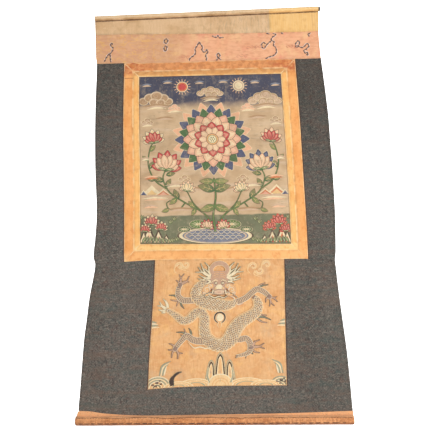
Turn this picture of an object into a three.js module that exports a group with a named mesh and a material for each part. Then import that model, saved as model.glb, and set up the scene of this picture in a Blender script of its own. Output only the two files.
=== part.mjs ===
// A hanging scroll: a painting on cloth in a two-band silk border, mounted on dark brocade.
// A pale silk heading is folded over a batten at the top, a narrow band of cloud silk crosses
// below it, an embroidered panel is let into the flared lower part, and a silk-wrapped roller
// weights the foot.
// Millimetres, +Z up, and the face looks along -Y. The origin is the middle of the top edge,
// where the scroll is hung.
import * as THREE from "three";

// Cloth
const SILK = 1.6; // thickness of a mounted silk, with its paper and paste
const CANVAS = 1.2; // thickness of the painted cloth
const SEAM_GAP = 0.3; // between pieces that are sewn edge to edge
const CELL = 30; // longest side of a facet
const OUTER_BAND = 0.6; // share of the border's width that is the outer, orange band

// Heading and the sleeve at its top
const HEADING_JOIN = 204; // where the beige silk meets the yellow one
const SLEEVE_TILT = 0.024; // rise of the top edge for each millimetre to the right
const SLEEVE_HALF_HEIGHT = 9.2;
const SLEEVE_HALF_DEPTH = 7.6;
const SLEEVE_STEPS = 12; // facets round the sleeve
const SLEEVE_OPENING = 0.4; // half angle of the ring that the hanging cloth leaves open, radians
const HEM_DEPTH = 6; // of the sleeve's hem, sewn down behind the heading
const FALL_ROWS = 3; // of facets from the sleeve down to the heading's foot

// Top batten
const BATTEN_CLEARANCE = 0.35; // to the sleeve's inside
const BATTEN_SHOWS = 4; // length of bare wood past the sleeve's right end
const BATTEN_INSET = 3; // from the sleeve's left end

// Foot roller and the silk wrapped round it
const ROLLER_RADIUS = 14;
const ROLLER_AXIS = -1312; // height under the middle of the top edge
const ROLLER_TILT = -0.0174;
const ROLLER_LEFT = -410;
const ROLLER_RIGHT = 397;
const ROLLER_STEPS = 18; // facets round the roller
const ROLLER_EDGE = 2.5; // rounding at the roller's ends
const TAB_HALF = 1.3; // half thickness of the tab that is sewn to the brocade

// The free sides, from the top down
const SIDES = [
  { z: 12, left: -382, right: 370.5 },
  { z: -24, left: -380, right: 369.5 },
  { z: -85, left: -377, right: 366.6 },
  { z: -158, left: -374, right: 368 },
  { z: -185, left: -370.5, right: 369 },
  { z: -304, left: -371, right: 376 },
  { z: -392, left: -371, right: 380.6 },
  { z: -478, left: -370, right: 382 },
  { z: -563, left: -367.6, right: 384 },
  { z: -687, left: -362.5, right: 383.5 },
  { z: -768, left: -364.5, right: 380 },
  { z: -828, left: -367, right: 376.5 },
  { z: -848, left: -362.7, right: 373.5 },
  { z: -881, left: -366, right: 374.5 },
  { z: -947, left: -377, right: 378.5 },
  { z: -1016, left: -384.5, right: 383.5 },
  { z: -1073, left: -391.5, right: 387.5 },
  { z: -1130, left: -395.5, right: 391 },
  { z: -1203, left: -399.5, right: 393.7 },
  { z: -1276, left: -403, right: 395.5 },
  { z: -1300, left: -404, right: 396.5 },
];

// The border's outer sides and the painting's sides
const BORDER_SIDES = [
  { z: -182, outerLeft: -280, left: -230.8, right: 233.2, outerRight: 283 },
  { z: -400, outerLeft: -281.2, left: -229.8, right: 237, outerRight: 288.2 },
  { z: -525, outerLeft: -278.2, left: -226.8, right: 239.2, outerRight: 289.2 },
  { z: -700, outerLeft: -275.4, left: -225.2, right: 241.2, outerRight: 291 },
  { z: -845, outerLeft: -274, left: -224, right: 239.6, outerRight: 290.4 },
];

// The embroidered panel's sides, and the seams that run on below it
const PANEL_SIDES = [
  { z: -840, left: -179, right: 217.5 },
  { z: -957, left: -184.5, right: 213.5 },
  { z: -1055, left: -191.5, right: 211 },
  { z: -1137, left: -197, right: 209 },
  { z: -1221, left: -201, right: 208 },
  { z: -1300, left: -209, right: 207.5 },
];

// Seams that run across, from left to right
const HEADING_FOOT = [
  { x: -374, z: -78.8 },
  { x: -234, z: -79 },
  { x: -61, z: -82 },
  { x: 203, z: -83.5 },
  { x: 367, z: -81.4 },
];
const CLOUD_FOOT = [
  { x: -371, z: -182.6 },
  { x: -284, z: -182.5 },
  { x: -62, z: -183 },
  { x: 85, z: -180.6 },
  { x: 284, z: -180.4 },
  { x: 369, z: -181 },
];
const PAINTING_TOP = [
  { x: -231, z: -232 },
  { x: 233, z: -231.4 },
];
const PAINTING_FOOT = [
  { x: -225, z: -788.5 },
  { x: 0, z: -793 },
  { x: 240, z: -798 },
];
const BORDER_FOOT = [
  { x: -367, z: -847 },
  { x: -274, z: -842 },
  { x: -181, z: -838.6 },
  { x: 7, z: -840 },
  { x: 218, z: -844 },
  { x: 290.4, z: -845.6 },
  { x: 374, z: -851 },
];
const PANEL_FOOT = [
  { x: -201, z: -1221.5 },
  { x: -127, z: -1217.4 },
  { x: -23, z: -1215.8 },
  { x: 71, z: -1216.6 },
  { x: 208, z: -1218.5 },
];
const BROCADE_FOOT = [
  { x: -404, z: -1277 },
  { x: -367, z: -1279.5 },
  { x: -330, z: -1285.5 },
  { x: -247, z: -1292.5 },
  { x: -136, z: -1295 },
  { x: 155, z: -1296.6 },
  { x: 267, z: -1296 },
  { x: 396.5, z: -1294 },
];

// Soft folds: the middle, the reach each way, and how far each stands out towards the viewer
const FOLDS = [
  { x: -360, z: -380, reachX: 55, reachZ: 130, out: 6 },
  { x: -372, z: -690, reachX: 60, reachZ: 90, out: -7 },
  { x: -375, z: -815, reachX: 55, reachZ: 38, out: 6 },
  { x: 375, z: -330, reachX: 60, reachZ: 150, out: 5 },
  { x: 385, z: -640, reachX: 60, reachZ: 140, out: -5 },
  { x: 0, z: -849, reachX: 900, reachZ: 20, out: -3.2 },
  { x: -330, z: -1060, reachX: 60, reachZ: 170, out: 7 },
  { x: -235, z: -1040, reachX: 45, reachZ: 160, out: -3.5 },
  { x: -405, z: -1150, reachX: 45, reachZ: 120, out: -6 },
  { x: 305, z: -1080, reachX: 60, reachZ: 170, out: 6.5 },
  { x: 395, z: -1000, reachX: 45, reachZ: 120, out: -6 },
  { x: 10, z: -1010, reachX: 150, reachZ: 70, out: 2.5 },
  { x: -60, z: -1160, reachX: 190, reachZ: 40, out: -2 },
  { x: 0, z: -300, reachX: 260, reachZ: 45, out: 2 },
  { x: -40, z: -400, reachX: 280, reachZ: 50, out: -1.8 },
  { x: 60, z: -520, reachX: 260, reachZ: 55, out: 2.4 },
  { x: -30, z: -640, reachX: 280, reachZ: 50, out: -2 },
  { x: 30, z: -740, reachX: 250, reachZ: 42, out: 2.2 },
  { x: -300, z: -120, reachX: 50, reachZ: 55, out: 3 },
  { x: -190, z: -115, reachX: 45, reachZ: 50, out: -2.4 },
  { x: -70, z: -125, reachX: 55, reachZ: 50, out: 2.6 },
  { x: 70, z: -115, reachX: 50, reachZ: 50, out: -2 },
  { x: 200, z: -125, reachX: 55, reachZ: 50, out: 2.8 },
  { x: 320, z: -120, reachX: 45, reachZ: 50, out: -2.6 },
];
const STIFF_TOP = -30; // the batten holds the cloth flat above this
const STIFF_FOOT = -1285; // and the roller below this
const SOFTENS_OVER = 60;

const finish = (color, roughness) =>
  new THREE.MeshStandardMaterial({ color, roughness, metalness: 0, flatShading: true });
const WOOD = finish(0x3a2a20, 0.6);
const BEIGE_SILK = finish(0xddb788, 0.75);
const YELLOW_HEADING = finish(0xf0c272, 0.75);
const CLOUD_SILK = finish(0xf0b68c, 0.75);
const BROCADE = finish(0x605a55, 0.85);
const ORANGE_SILK = finish(0xe39a5c, 0.7);
const YELLOW_SILK = finish(0xf0bd70, 0.7);
const PAINTED_CLOTH = finish(0x8c7f6a, 0.8);
const EMBROIDERY = finish(0xdfa868, 0.7);
const WRAP_SILK = finish(0xc8824f, 0.75);

const mix = (a, b, t) => a + (b - a) * t;
const ease = (t) => THREE.MathUtils.smoothstep(t, 0, 1);

// A smooth line through a table's rows: one column's value at each value of another column.
function through(rows, from, to) {
  const points = rows.map((row) => [row[from], row[to]]).sort((a, b) => a[0] - b[0]);
  const last = points.length - 1;
  const slopeOf = (i, j) => (points[j][1] - points[i][1]) / (points[j][0] - points[i][0]);
  const slopes = points.map((_, i) => slopeOf(Math.max(0, i - 1), Math.min(last, i + 1)));
  return (at) => {
    const next = points.findIndex((point) => point[0] > at);
    const k = next < 0 ? last - 1 : Math.max(0, next - 1);
    const [start, a] = points[k];
    const [end, b] = points[k + 1];
    const span = end - start;
    const t = THREE.MathUtils.clamp((at - start) / span, 0, 1);
    const bend = slopes[k] * t * (1 - t) ** 2 - slopes[k + 1] * t * t * (1 - t);
    const beyond = at - mix(start, end, t); // past the table's end, straight on
    return mix(a, b, ease(t)) + span * bend + beyond * slopes[t < 0.5 ? k : k + 1];
  };
}

const side = {
  left: through(SIDES, "z", "left"),
  right: through(SIDES, "z", "right"),
  borderLeft: through(BORDER_SIDES, "z", "outerLeft"),
  paintingLeft: through(BORDER_SIDES, "z", "left"),
  paintingRight: through(BORDER_SIDES, "z", "right"),
  borderRight: through(BORDER_SIDES, "z", "outerRight"),
  panelLeft: through(PANEL_SIDES, "z", "left"),
  panelRight: through(PANEL_SIDES, "z", "right"),
  join: () => HEADING_JOIN,
};
const seam = {
  headingFoot: through(HEADING_FOOT, "x", "z"),
  cloudFoot: through(CLOUD_FOOT, "x", "z"),
  paintingTop: through(PAINTING_TOP, "x", "z"),
  paintingFoot: through(PAINTING_FOOT, "x", "z"),
  borderFoot: through(BORDER_FOOT, "x", "z"),
  panelFoot: through(PANEL_FOOT, "x", "z"),
  brocadeFoot: through(BROCADE_FOOT, "x", "z"),
};

// The line inside the border where the orange band meets the yellow one
const bandLine = (outer, inner) => (at) => mix(outer(at), inner(at), OUTER_BAND);
const band = {
  left: bandLine(side.borderLeft, side.paintingLeft),
  right: bandLine(side.borderRight, side.paintingRight),
  top: bandLine(seam.cloudFoot, seam.paintingTop),
  foot: bandLine(seam.borderFoot, seam.paintingFoot),
};

// The place where a side line and a cross seam meet.
function corner(sideLine, seamLine) {
  let x = 0;
  for (let i = 0; i < 8; i++) x = sideLine(seamLine(x));
  return { x, z: seamLine(x) };
}

// A mitre: the straight line from the border's outer corner to the painting's corner.
function mitre(outerSide, outerSeam, paintingSide, paintingSeam) {
  const outer = corner(outerSide, outerSeam);
  const inner = corner(paintingSide, paintingSeam);
  const slope = (inner.z - outer.z) / (inner.x - outer.x);
  return {
    xAt: (z) => outer.x + (z - outer.z) / slope,
    zAt: (x) => outer.z + (x - outer.x) * slope,
  };
}
const topLeft = mitre(side.borderLeft, seam.cloudFoot, side.paintingLeft, seam.paintingTop);
const topRight = mitre(side.borderRight, seam.cloudFoot, side.paintingRight, seam.paintingTop);
const footLeft = mitre(side.borderLeft, seam.borderFoot, side.paintingLeft, seam.paintingFoot);
const footRight = mitre(side.borderRight, seam.borderFoot, side.paintingRight, seam.paintingFoot);

// Depth of the hung cloth behind the flat plane, at a place on its face.
function drape(x, z) {
  const loose = ease((STIFF_TOP - z) / SOFTENS_OVER) * ease((z - STIFF_FOOT) / SOFTENS_OVER);
  const out = FOLDS.reduce((sum, fold) => {
    const far = ((x - fold.x) / fold.reachX) ** 2 + ((z - fold.z) / fold.reachZ) ** 2;
    return sum + fold.out * Math.exp(-far);
  }, 0);
  return -out * loose;
}

// A place inside four edge lines: u runs from left to right and v from the top to the foot.
function placeIn({ left, right, top, foot }, u, v) {
  const inset = SEAM_GAP / 2;
  let x = 0;
  let z = mix(top(0), foot(0), v);
  for (let i = 0; i < 12; i++) {
    x = mix(left(z) + inset, right(z) - inset, u);
    z = mix(top(x) - inset, foot(x) + inset, v);
  }
  return new THREE.Vector3(x, 0, z);
}

function solid(name, material, positions, index) {
  const geometry = new THREE.BufferGeometry();
  geometry.setAttribute("position", new THREE.Float32BufferAttribute(positions, 3));
  geometry.setIndex(index);
  const mesh = new THREE.Mesh(geometry, material);
  mesh.name = name;
  return mesh;
}

// One sewn piece of cloth: a thin closed sheet that lies on the hung cloth's folds.
function sheet(name, material, edges, thickness = SILK) {
  const corners = [0, 1].map((v) => [0, 1].map((u) => placeIn(edges, u, v)));
  const wide = Math.max(...corners.map(([a, b]) => a.distanceTo(b)));
  const tall = Math.max(...[0, 1].map((u) => corners[0][u].distanceTo(corners[1][u])));
  const columns = Math.ceil(wide / CELL);
  const rows = Math.ceil(tall / CELL);
  const across = columns + 1;
  const layer = across * (rows + 1);
  const positions = [];
  for (const face of [-0.5, 0.5]) {
    for (let n = 0; n < layer; n++) {
      const { x, z } = placeIn(edges, (n % across) / columns, Math.floor(n / across) / rows);
      positions.push(x, drape(x, z) + face * thickness, z);
    }
  }
  const index = [];
  const quad = (a, b, c, d) => index.push(a, b, c, a, c, d);
  for (let j = 0; j < rows; j++) {
    for (let i = 0; i < columns; i++) {
      const a = j * across + i;
      quad(a, a + across, a + across + 1, a + 1);
      quad(a + layer, a + layer + 1, a + layer + across + 1, a + layer + across);
    }
    const left = j * across;
    const right = left + columns;
    quad(left, left + layer, left + across + layer, left + across);
    quad(right, right + across, right + across + layer, right + layer);
  }
  for (let i = 0; i < columns; i++) {
    const foot = rows * across + i;
    quad(i, i + 1, i + 1 + layer, i + layer);
    quad(foot, foot + layer, foot + 1 + layer, foot + 1);
  }
  return solid(name, material, positions, index);
}

// A solid whose section is carried along X. The outline runs anticlockwise and the hole
// clockwise, seen from +X. place(point, station) gives a section point's true [x, y, z].
function carried(name, material, stations, outline, hole, place) {
  const section = [...outline, ...hole];
  const positions = stations.flatMap((s) => section.flatMap((point) => place(point, s)));
  const ring = section.length;
  const index = [];
  const walls = (count, first) => {
    for (let s = 0; s + 1 < stations.length; s++) {
      for (let i = 0; i < count; i++) {
        const a = s * ring + first + i;
        const b = s * ring + first + ((i + 1) % count);
        index.push(a, b, b + ring, a, b + ring, a + ring);
      }
    }
  };
  walls(outline.length, 0);
  walls(hole.length, outline.length);
  const flat = (points) => points.map(([y, z]) => new THREE.Vector2(y, z));
  const farEnd = (stations.length - 1) * ring;
  const caps = THREE.ShapeUtils.triangulateShape(flat(outline), hole.length ? [flat(hole)] : []);
  for (const [a, b, c] of caps) index.push(a, c, b, farEnd + a, farEnd + b, farEnd + c);
  return solid(name, material, positions, index);
}

const spaced = (from, to) => {
  const steps = Math.ceil((to - from) / CELL);
  return Array.from({ length: steps + 1 }, (_, i) => mix(from, to, i / steps));
};

// Points of an oval, from one angle to another, measured anticlockwise from straight down.
function oval(halfDepth, halfHeight, from, to, steps) {
  return Array.from({ length: steps + 1 }, (_, i) => {
    const turn = mix(from, to, i / steps);
    return [Math.sin(turn) * halfDepth, -Math.cos(turn) * halfHeight];
  });
}

const sleeveMiddle = (x) => SLEEVE_TILT * x - SLEEVE_HALF_HEIGHT;

// Part of the heading: one silk, folded over the batten into a sleeve and sewn down behind
// itself. The section keeps the sleeve round 0, and its last unit of height is the whole fall.
function heading(name, material, left, right) {
  const half = SILK / 2;
  const neck = -SLEEVE_HALF_HEIGHT;
  const fall = (share) => neck - share;
  const rowsDown = Array.from({ length: FALL_ROWS }, (_, i) => (i + 1) / FALL_ROWS);
  const hemShare = HEM_DEPTH / (neck - seam.headingFoot(0) - SLEEVE_HALF_HEIGHT);
  const back = rowsDown.toReversed().map((share) => [half, fall(share)]);
  const hem = [
    [half, fall(hemShare)],
    [half + SILK, fall(hemShare)],
  ];
  const open = SLEEVE_OPENING;
  const sleeve = oval(SLEEVE_HALF_DEPTH, SLEEVE_HALF_HEIGHT, open, 2 * Math.PI - open, SLEEVE_STEPS);
  const front = [[-half, neck], ...rowsDown.map((share) => [-half, fall(share)])];
  const inside = oval(
    SLEEVE_HALF_DEPTH - SILK,
    SLEEVE_HALF_HEIGHT - SILK,
    2 * Math.PI,
    0,
    SLEEVE_STEPS,
  ).slice(1);
  const foot = (x) => seam.headingFoot(x) + SEAM_GAP / 2;
  const place = ([y, section], u) => {
    const inset = SEAM_GAP / 2;
    let x = mix(left(neck), right(neck), u);
    let z = neck;
    for (let i = 0; i < 8; i++) {
      const top = sleeveMiddle(x);
      z = section >= neck ? top + section : mix(top + neck, foot(x), neck - section);
      x = mix(left(z) + inset, right(z) - inset, u);
    }
    return [x, y + drape(x, z), z];
  };
  const stations = spaced(0, right(neck) - left(neck)).map((at, _, all) => at / all.at(-1));
  return carried(name, material, stations, [...back, ...hem, ...sleeve, ...front], inside, place);
}

// The batten: a slightly oval stick in the sleeve, bare at its right end.
function batten() {
  const deep = SLEEVE_HALF_DEPTH - SILK - BATTEN_CLEARANCE;
  const high = SLEEVE_HALF_HEIGHT - SILK - BATTEN_CLEARANCE;
  const outline = oval(deep, high, 0, 2 * Math.PI, SLEEVE_STEPS).slice(1);
  const stations = [side.left(0) + BATTEN_INSET, side.right(0) + BATTEN_SHOWS];
  const place = ([y, z], x) => [x, y, sleeveMiddle(x) + z];
  return carried("top_batten", WOOD, stations, outline, [], place);
}

// The roller in its silk, with the tab along its top that is sewn to the brocade's foot.
function roller() {
  const opening = Math.PI - Math.asin(TAB_HALF / ROLLER_RADIUS);
  const tabTop = ROLLER_RADIUS + 5;
  const round = oval(ROLLER_RADIUS, ROLLER_RADIUS, -opening, opening, ROLLER_STEPS);
  const outline = [...round, [TAB_HALF, tabTop], [-TAB_HALF, tabTop]];
  const tabLeft = side.left(ROLLER_AXIS) + 1;
  const tabRight = side.right(ROLLER_AXIS) - 1;
  const place = ([y, z], x) => {
    const axis = ROLLER_AXIS + ROLLER_TILT * x;
    const fromEnd = Math.min(x - ROLLER_LEFT, ROLLER_RIGHT - x);
    const size = mix(0.86, 1, ease(fromEnd / ROLLER_EDGE));
    if (z < tabTop) return [x, y * size, axis + z * size];
    const held = THREE.MathUtils.clamp(x, tabLeft, tabRight);
    const sewn = seam.brocadeFoot(held) - SEAM_GAP / 2;
    const gone = ease(Math.abs(x - held) / 4); // the tab ends where the brocade does
    return [x, y * size, mix(sewn, axis + (ROLLER_RADIUS + 0.3) * size, gone)];
  };
  const body = spaced(tabLeft, ROLLER_RIGHT - ROLLER_EDGE);
  const stations = [ROLLER_LEFT, ROLLER_LEFT + ROLLER_EDGE, ...body, ROLLER_RIGHT];
  return carried("roller_wrap", WRAP_SILK, stations, outline, [], place);
}

// The flat pieces' edge lines, and what each is made of
const FLAT_PIECES = {
  cloud_band: {
    of: CLOUD_SILK,
    edges: { left: side.left, right: side.right, top: seam.headingFoot, foot: seam.cloudFoot },
  },
  side_strip_left: {
    of: BROCADE,
    edges: { left: side.left, right: side.borderLeft, top: seam.cloudFoot, foot: seam.borderFoot },
  },
  side_strip_right: {
    of: BROCADE,
    edges: { left: side.borderRight, right: side.right, top: seam.cloudFoot, foot: seam.borderFoot },
  },
  border_outer_top: {
    of: ORANGE_SILK,
    edges: { left: topLeft.xAt, right: topRight.xAt, top: seam.cloudFoot, foot: band.top },
  },
  border_inner_top: {
    of: YELLOW_SILK,
    edges: { left: topLeft.xAt, right: topRight.xAt, top: band.top, foot: seam.paintingTop },
  },
  border_outer_left: {
    of: ORANGE_SILK,
    edges: { left: side.borderLeft, right: band.left, top: topLeft.zAt, foot: footLeft.zAt },
  },
  border_inner_left: {
    of: YELLOW_SILK,
    edges: { left: band.left, right: side.paintingLeft, top: topLeft.zAt, foot: footLeft.zAt },
  },
  border_outer_right: {
    of: ORANGE_SILK,
    edges: { left: band.right, right: side.borderRight, top: topRight.zAt, foot: footRight.zAt },
  },
  border_inner_right: {
    of: YELLOW_SILK,
    edges: { left: side.paintingRight, right: band.right, top: topRight.zAt, foot: footRight.zAt },
  },
  border_outer_foot: {
    of: ORANGE_SILK,
    edges: { left: footLeft.xAt, right: footRight.xAt, top: band.foot, foot: seam.borderFoot },
  },
  border_inner_foot: {
    of: YELLOW_SILK,
    edges: { left: footLeft.xAt, right: footRight.xAt, top: seam.paintingFoot, foot: band.foot },
  },
  painting: {
    of: PAINTED_CLOTH,
    thickness: CANVAS,
    edges: {
      left: side.paintingLeft,
      right: side.paintingRight,
      top: seam.paintingTop,
      foot: seam.paintingFoot,
    },
  },
  dragon_panel: {
    of: EMBROIDERY,
    edges: {
      left: side.panelLeft,
      right: side.panelRight,
      top: seam.borderFoot,
      foot: seam.panelFoot,
    },
  },
  lower_panel_left: {
    of: BROCADE,
    edges: { left: side.left, right: side.panelLeft, top: seam.borderFoot, foot: seam.brocadeFoot },
  },
  lower_panel_middle: {
    of: BROCADE,
    edges: {
      left: side.panelLeft,
      right: side.panelRight,
      top: seam.panelFoot,
      foot: seam.brocadeFoot,
    },
  },
  lower_panel_right: {
    of: BROCADE,
    edges: { left: side.panelRight, right: side.right, top: seam.borderFoot, foot: seam.brocadeFoot },
  },
};

const scroll = new THREE.Group();
scroll.add(batten());
scroll.add(heading("heading_beige", BEIGE_SILK, side.left, side.join));
scroll.add(heading("heading_yellow", YELLOW_HEADING, side.join, side.right));
for (const [name, { of, edges, thickness }] of Object.entries(FLAT_PIECES)) {
  scroll.add(sheet(name, of, edges, thickness));
}
scroll.add(roller());

export default scroll;
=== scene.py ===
import math

import bmesh
import bpy
import numpy as np
from mathutils import Matrix, Vector
from mathutils.geometry import delaunay_2d_cdt


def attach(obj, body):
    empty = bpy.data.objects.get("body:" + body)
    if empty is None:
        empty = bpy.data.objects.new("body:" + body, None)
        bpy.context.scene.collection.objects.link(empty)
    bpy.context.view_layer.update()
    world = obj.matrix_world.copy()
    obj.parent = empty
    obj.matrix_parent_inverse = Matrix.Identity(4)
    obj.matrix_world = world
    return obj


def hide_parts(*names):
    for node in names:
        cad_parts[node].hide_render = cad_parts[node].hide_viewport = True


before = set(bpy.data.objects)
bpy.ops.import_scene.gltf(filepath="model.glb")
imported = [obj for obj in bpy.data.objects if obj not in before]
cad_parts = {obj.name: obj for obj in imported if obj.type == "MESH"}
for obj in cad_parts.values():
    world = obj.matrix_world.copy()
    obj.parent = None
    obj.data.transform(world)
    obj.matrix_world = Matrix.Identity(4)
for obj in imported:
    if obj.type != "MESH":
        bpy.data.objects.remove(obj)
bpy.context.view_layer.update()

# A hanging scroll, in millimetres until a mesh is made. X runs to the right, Z runs up from the
# top edge's middle, and a depth of less than 0 stands out towards the viewer.
MM = 0.001
SILK = 1.6  # thickness of a mounted silk
CANVAS = 1.2  # thickness of the painted cloth
SEAM_GAP = 0.04  # between two pieces that are sewn together
CELL = 5.0  # size of the cloth's facets
LIPS = (0.8, 2.2)  # extra rows of points along every edge
HEM = 8.0  # width of the turned hem on the free sides
HEM_RAISE = 0.55  # how far the face stands out over the hem
HEM_STEP = 1.4  # width of the slope at the hem's inner side
FACE_ROUND = ((0.45, 1.1), (0.25, 4.0))  # how far the face falls back at an edge, over what width
BACK_ROUND = (0.3, 1.1)
NO_SEAM = 99.0  # stands for a seam that is far away
CROSS_SEAM = 2.4  # how much weaker the soil along the cross seams starts
BARE_BELOW = -1224.0  # below this the brocade's side seams hardly show
OUTER_BAND = 0.6  # share of the border's width that is the outer band

HEADING_JOIN = 204.0
SLEEVE_TILT = 0.024
SLEEVE_HALF_HEIGHT = 9.2
SLEEVE_HALF_DEPTH = 7.6
SLEEVE_OPENING = 0.4  # radians
BATTEN_PLAY = 0.35
TUCK = 6.0  # how far the silk reaches down behind, below the sleeve
HEADING_FALL = 62.0  # from the sleeve to the seam below, about
SEWN_UNDER = -19.6  # the seam under the sleeve, from the top line

ROLLER_RADIUS = 14.0
ROLLER_AXIS = -1312.0
ROLLER_TILT = -0.0174
ROLLER_LEFT = -410.0
ROLLER_RIGHT = 397.0
TAB_HALF = 1.3

CAMERA_PLACE = (11.0, -1873.0, -1120.0)
CAMERA_AIM = (11.0, 0.0, -705.0)
CAMERA_ROLL = -1.3  # degrees, clockwise, so the scroll leans anticlockwise
LENS = 51.33  # for a sensor 36 mm wide


def table(columns, *rows):
    """Rows of numbers under named columns."""
    return [dict(zip(columns.split(), row)) for row in rows]


# Free sides
SIDES = table(
    "z left right",
    (12, -382, 370.5), (-24, -380, 369.5), (-85, -377, 366.6), (-158, -374, 368),
    (-185, -370.5, 369), (-304, -371, 376), (-392, -371, 380.6), (-478, -370, 382),
    (-563, -367.6, 384), (-687, -362.5, 383.5), (-768, -364.5, 380), (-828, -367, 376.5),
    (-848, -362.7, 373.5), (-881, -366, 374.5), (-947, -377, 378.5), (-1016, -384.5, 383.5),
    (-1073, -391.5, 387.5), (-1130, -395.5, 391), (-1203, -399.5, 393.7), (-1276, -403, 395.5),
    (-1300, -404, 396.5),
)

# The border's outer sides and the painting's sides
BORDER_SIDES = table(
    "z outer_left left right outer_right",
    (-182, -280, -230.8, 233.2, 283),
    (-400, -281.2, -229.8, 237, 288.2),
    (-525, -278.2, -226.8, 239.2, 289.2),
    (-700, -275.4, -225.2, 241.2, 291),
    (-845, -274, -224, 239.6, 290.4),
)

# The embroidered panel's sides, and the seams that run on below it
PANEL_SIDES = table(
    "z left right",
    (-840, -179, 217.5), (-957, -184.5, 213.5), (-1055, -191.5, 211), (-1137, -197, 209),
    (-1221, -201, 208), (-1300, -209, 207.5),
)

# Seams that run across
HEADING_FOOT = table("x z", (-374, -78.8), (-234, -79), (-61, -82), (203, -83.5), (367, -81.4))
CLOUD_FOOT = table(
    "x z",
    (-371, -182.6), (-284, -182.5), (-62, -183), (85, -180.6), (284, -180.4), (369, -181),
)
PAINTING_TOP = table("x z", (-231, -232), (233, -231.4))
PAINTING_FOOT = table("x z", (-225, -788.5), (0, -793), (240, -798))
BORDER_FOOT = table(
    "x z",
    (-367, -847), (-274, -842), (-181, -838.6), (7, -840), (218, -844), (290.4, -845.6),
    (374, -851),
)
PANEL_FOOT = table(
    "x z",
    (-201, -1221.5), (-127, -1217.4), (-23, -1215.8), (71, -1216.6), (208, -1218.5),
)
BROCADE_FOOT = table(
    "x z",
    (-404, -1277), (-367, -1279.5), (-330, -1285.5), (-247, -1292.5), (-136, -1295), (155, -1296.6),
    (267, -1296), (396.5, -1294),
)

# Soft folds: the middle's x and z, the reach along x and z, and how far each stands out
FOLDS = (
    (-360, -380, 55, 130, 6),
    (-372, -690, 60, 90, -7),
    (-375, -815, 55, 38, 6),
    (375, -330, 60, 150, 5),
    (385, -640, 60, 140, -5),
    (0, -849, 900, 20, -3.2),
    (-330, -1060, 60, 170, 7),
    (-235, -1040, 45, 160, -3.5),
    (-405, -1150, 45, 120, -6),
    (305, -1080, 60, 170, 6.5),
    (395, -1000, 45, 120, -6),
    (10, -1010, 150, 70, 2.5),
    (-60, -1160, 190, 40, -2),
    (0, -300, 260, 45, 2),
    (-40, -400, 280, 50, -1.8),
    (60, -520, 260, 55, 2.4),
    (-30, -640, 280, 50, -2),
    (30, -740, 250, 42, 2.2),
    (-300, -120, 50, 55, 3),
    (-190, -115, 45, 50, -2.4),
    (-70, -125, 55, 50, 2.6),
    (70, -115, 50, 50, -2),
    (200, -125, 55, 50, 2.8),
    (320, -120, 45, 50, -2.6),
)
STIFF_TOP = -30.0
STIFF_FOOT = -1285.0
SOFTENS_OVER = 60.0

# Fine creases: x and z of one end and of the other, the width, and how far each stands out
CREASES = (
    (-300, -236, -205, -236, 5, -0.9),
    (-281, -200, -370, -262, 9, 0.8),
    (288, -200, 372, -250, 9, 0.7),
    (-276, -830, -362, -800, 8, 1.0),
    (290, -832, 380, -806, 8, 0.9),
    (-276, -852, -360, -880, 7, -0.8),
    (292, -858, 374, -880, 7, -0.8),
    (-340, -860, -372, -1010, 10, 0.9),
    (-300, -870, -318, -1120, 12, -0.8),
    (-228, -880, -240, -1200, 10, 0.8),
    (250, -880, 246, -1180, 12, 0.8),
    (340, -870, 362, -1100, 12, -0.9),
    (-345, -200, -352, -560, 9, -0.6),
    (330, -220, 340, -600, 12, 0.6),
    (-300, -1270, -240, -1180, 12, 0.7),
    (300, -1280, 340, -1160, 14, -0.7),
    (-120, -1225, 160, -1290, 14, 0.5),
    (-200, -30, -214, -170, 7, 0.5),
    (-60, -35, -52, -150, 6, -0.5),
    (58, -34, 70, -170, 7, 0.5),
    (262, -30, 255, -150, 6, -0.5),
)

rng = np.random.default_rng(20)


def through(rows, at, column):
    """A smooth line through one column of a table, straight on past its ends."""
    place, value = np.array(sorted((row[at], row[column]) for row in rows), float).T
    inner = (value[2:] - value[:-2]) / (place[2:] - place[:-2])
    ends = np.diff(value) / np.diff(place)
    slope = np.concatenate((ends[:1], inner, ends[-1:]))

    def line(where):
        where = np.asarray(where, float)
        k = np.clip(np.searchsorted(place, where, side="right") - 1, 0, len(place) - 2)
        span = place[k + 1] - place[k]
        t = np.clip((where - place[k]) / span, 0, 1)
        beyond = where - (place[k] + t * span)
        bend = slope[k] * t * (1 - t) ** 2 - slope[k + 1] * t * t * (1 - t)
        on = value[k] + (value[k + 1] - value[k]) * t * t * (3 - 2 * t)
        return on + span * bend + beyond * np.where(t < 0.5, slope[k], slope[k + 1])

    return line


def mix(a, b, t):
    return a + (b - a) * t


def ease(t):
    t = np.clip(t, 0, 1)
    return t * t * (3 - 2 * t)


side_left = through(SIDES, "z", "left")
side_right = through(SIDES, "z", "right")
border_left = through(BORDER_SIDES, "z", "outer_left")
border_right = through(BORDER_SIDES, "z", "outer_right")
painting_left = through(BORDER_SIDES, "z", "left")
painting_right = through(BORDER_SIDES, "z", "right")
panel_left = through(PANEL_SIDES, "z", "left")
panel_right = through(PANEL_SIDES, "z", "right")
heading_foot = through(HEADING_FOOT, "x", "z")
cloud_foot = through(CLOUD_FOOT, "x", "z")
painting_top = through(PAINTING_TOP, "x", "z")
painting_foot = through(PAINTING_FOOT, "x", "z")
border_foot = through(BORDER_FOOT, "x", "z")
panel_foot = through(PANEL_FOOT, "x", "z")
brocade_foot = through(BROCADE_FOOT, "x", "z")


def heading_join(z):
    return np.full_like(np.asarray(z, float), HEADING_JOIN)


def sleeve_middle(x):
    return SLEEVE_TILT * x - SLEEVE_HALF_HEIGHT


def band_line(outer, inner):
    """The line inside the border where the outer band meets the inner one."""
    return lambda at: mix(outer(at), inner(at), OUTER_BAND)


band_left = band_line(border_left, painting_left)
band_right = band_line(border_right, painting_right)
band_top = band_line(cloud_foot, painting_top)
band_foot = band_line(border_foot, painting_foot)


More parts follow.
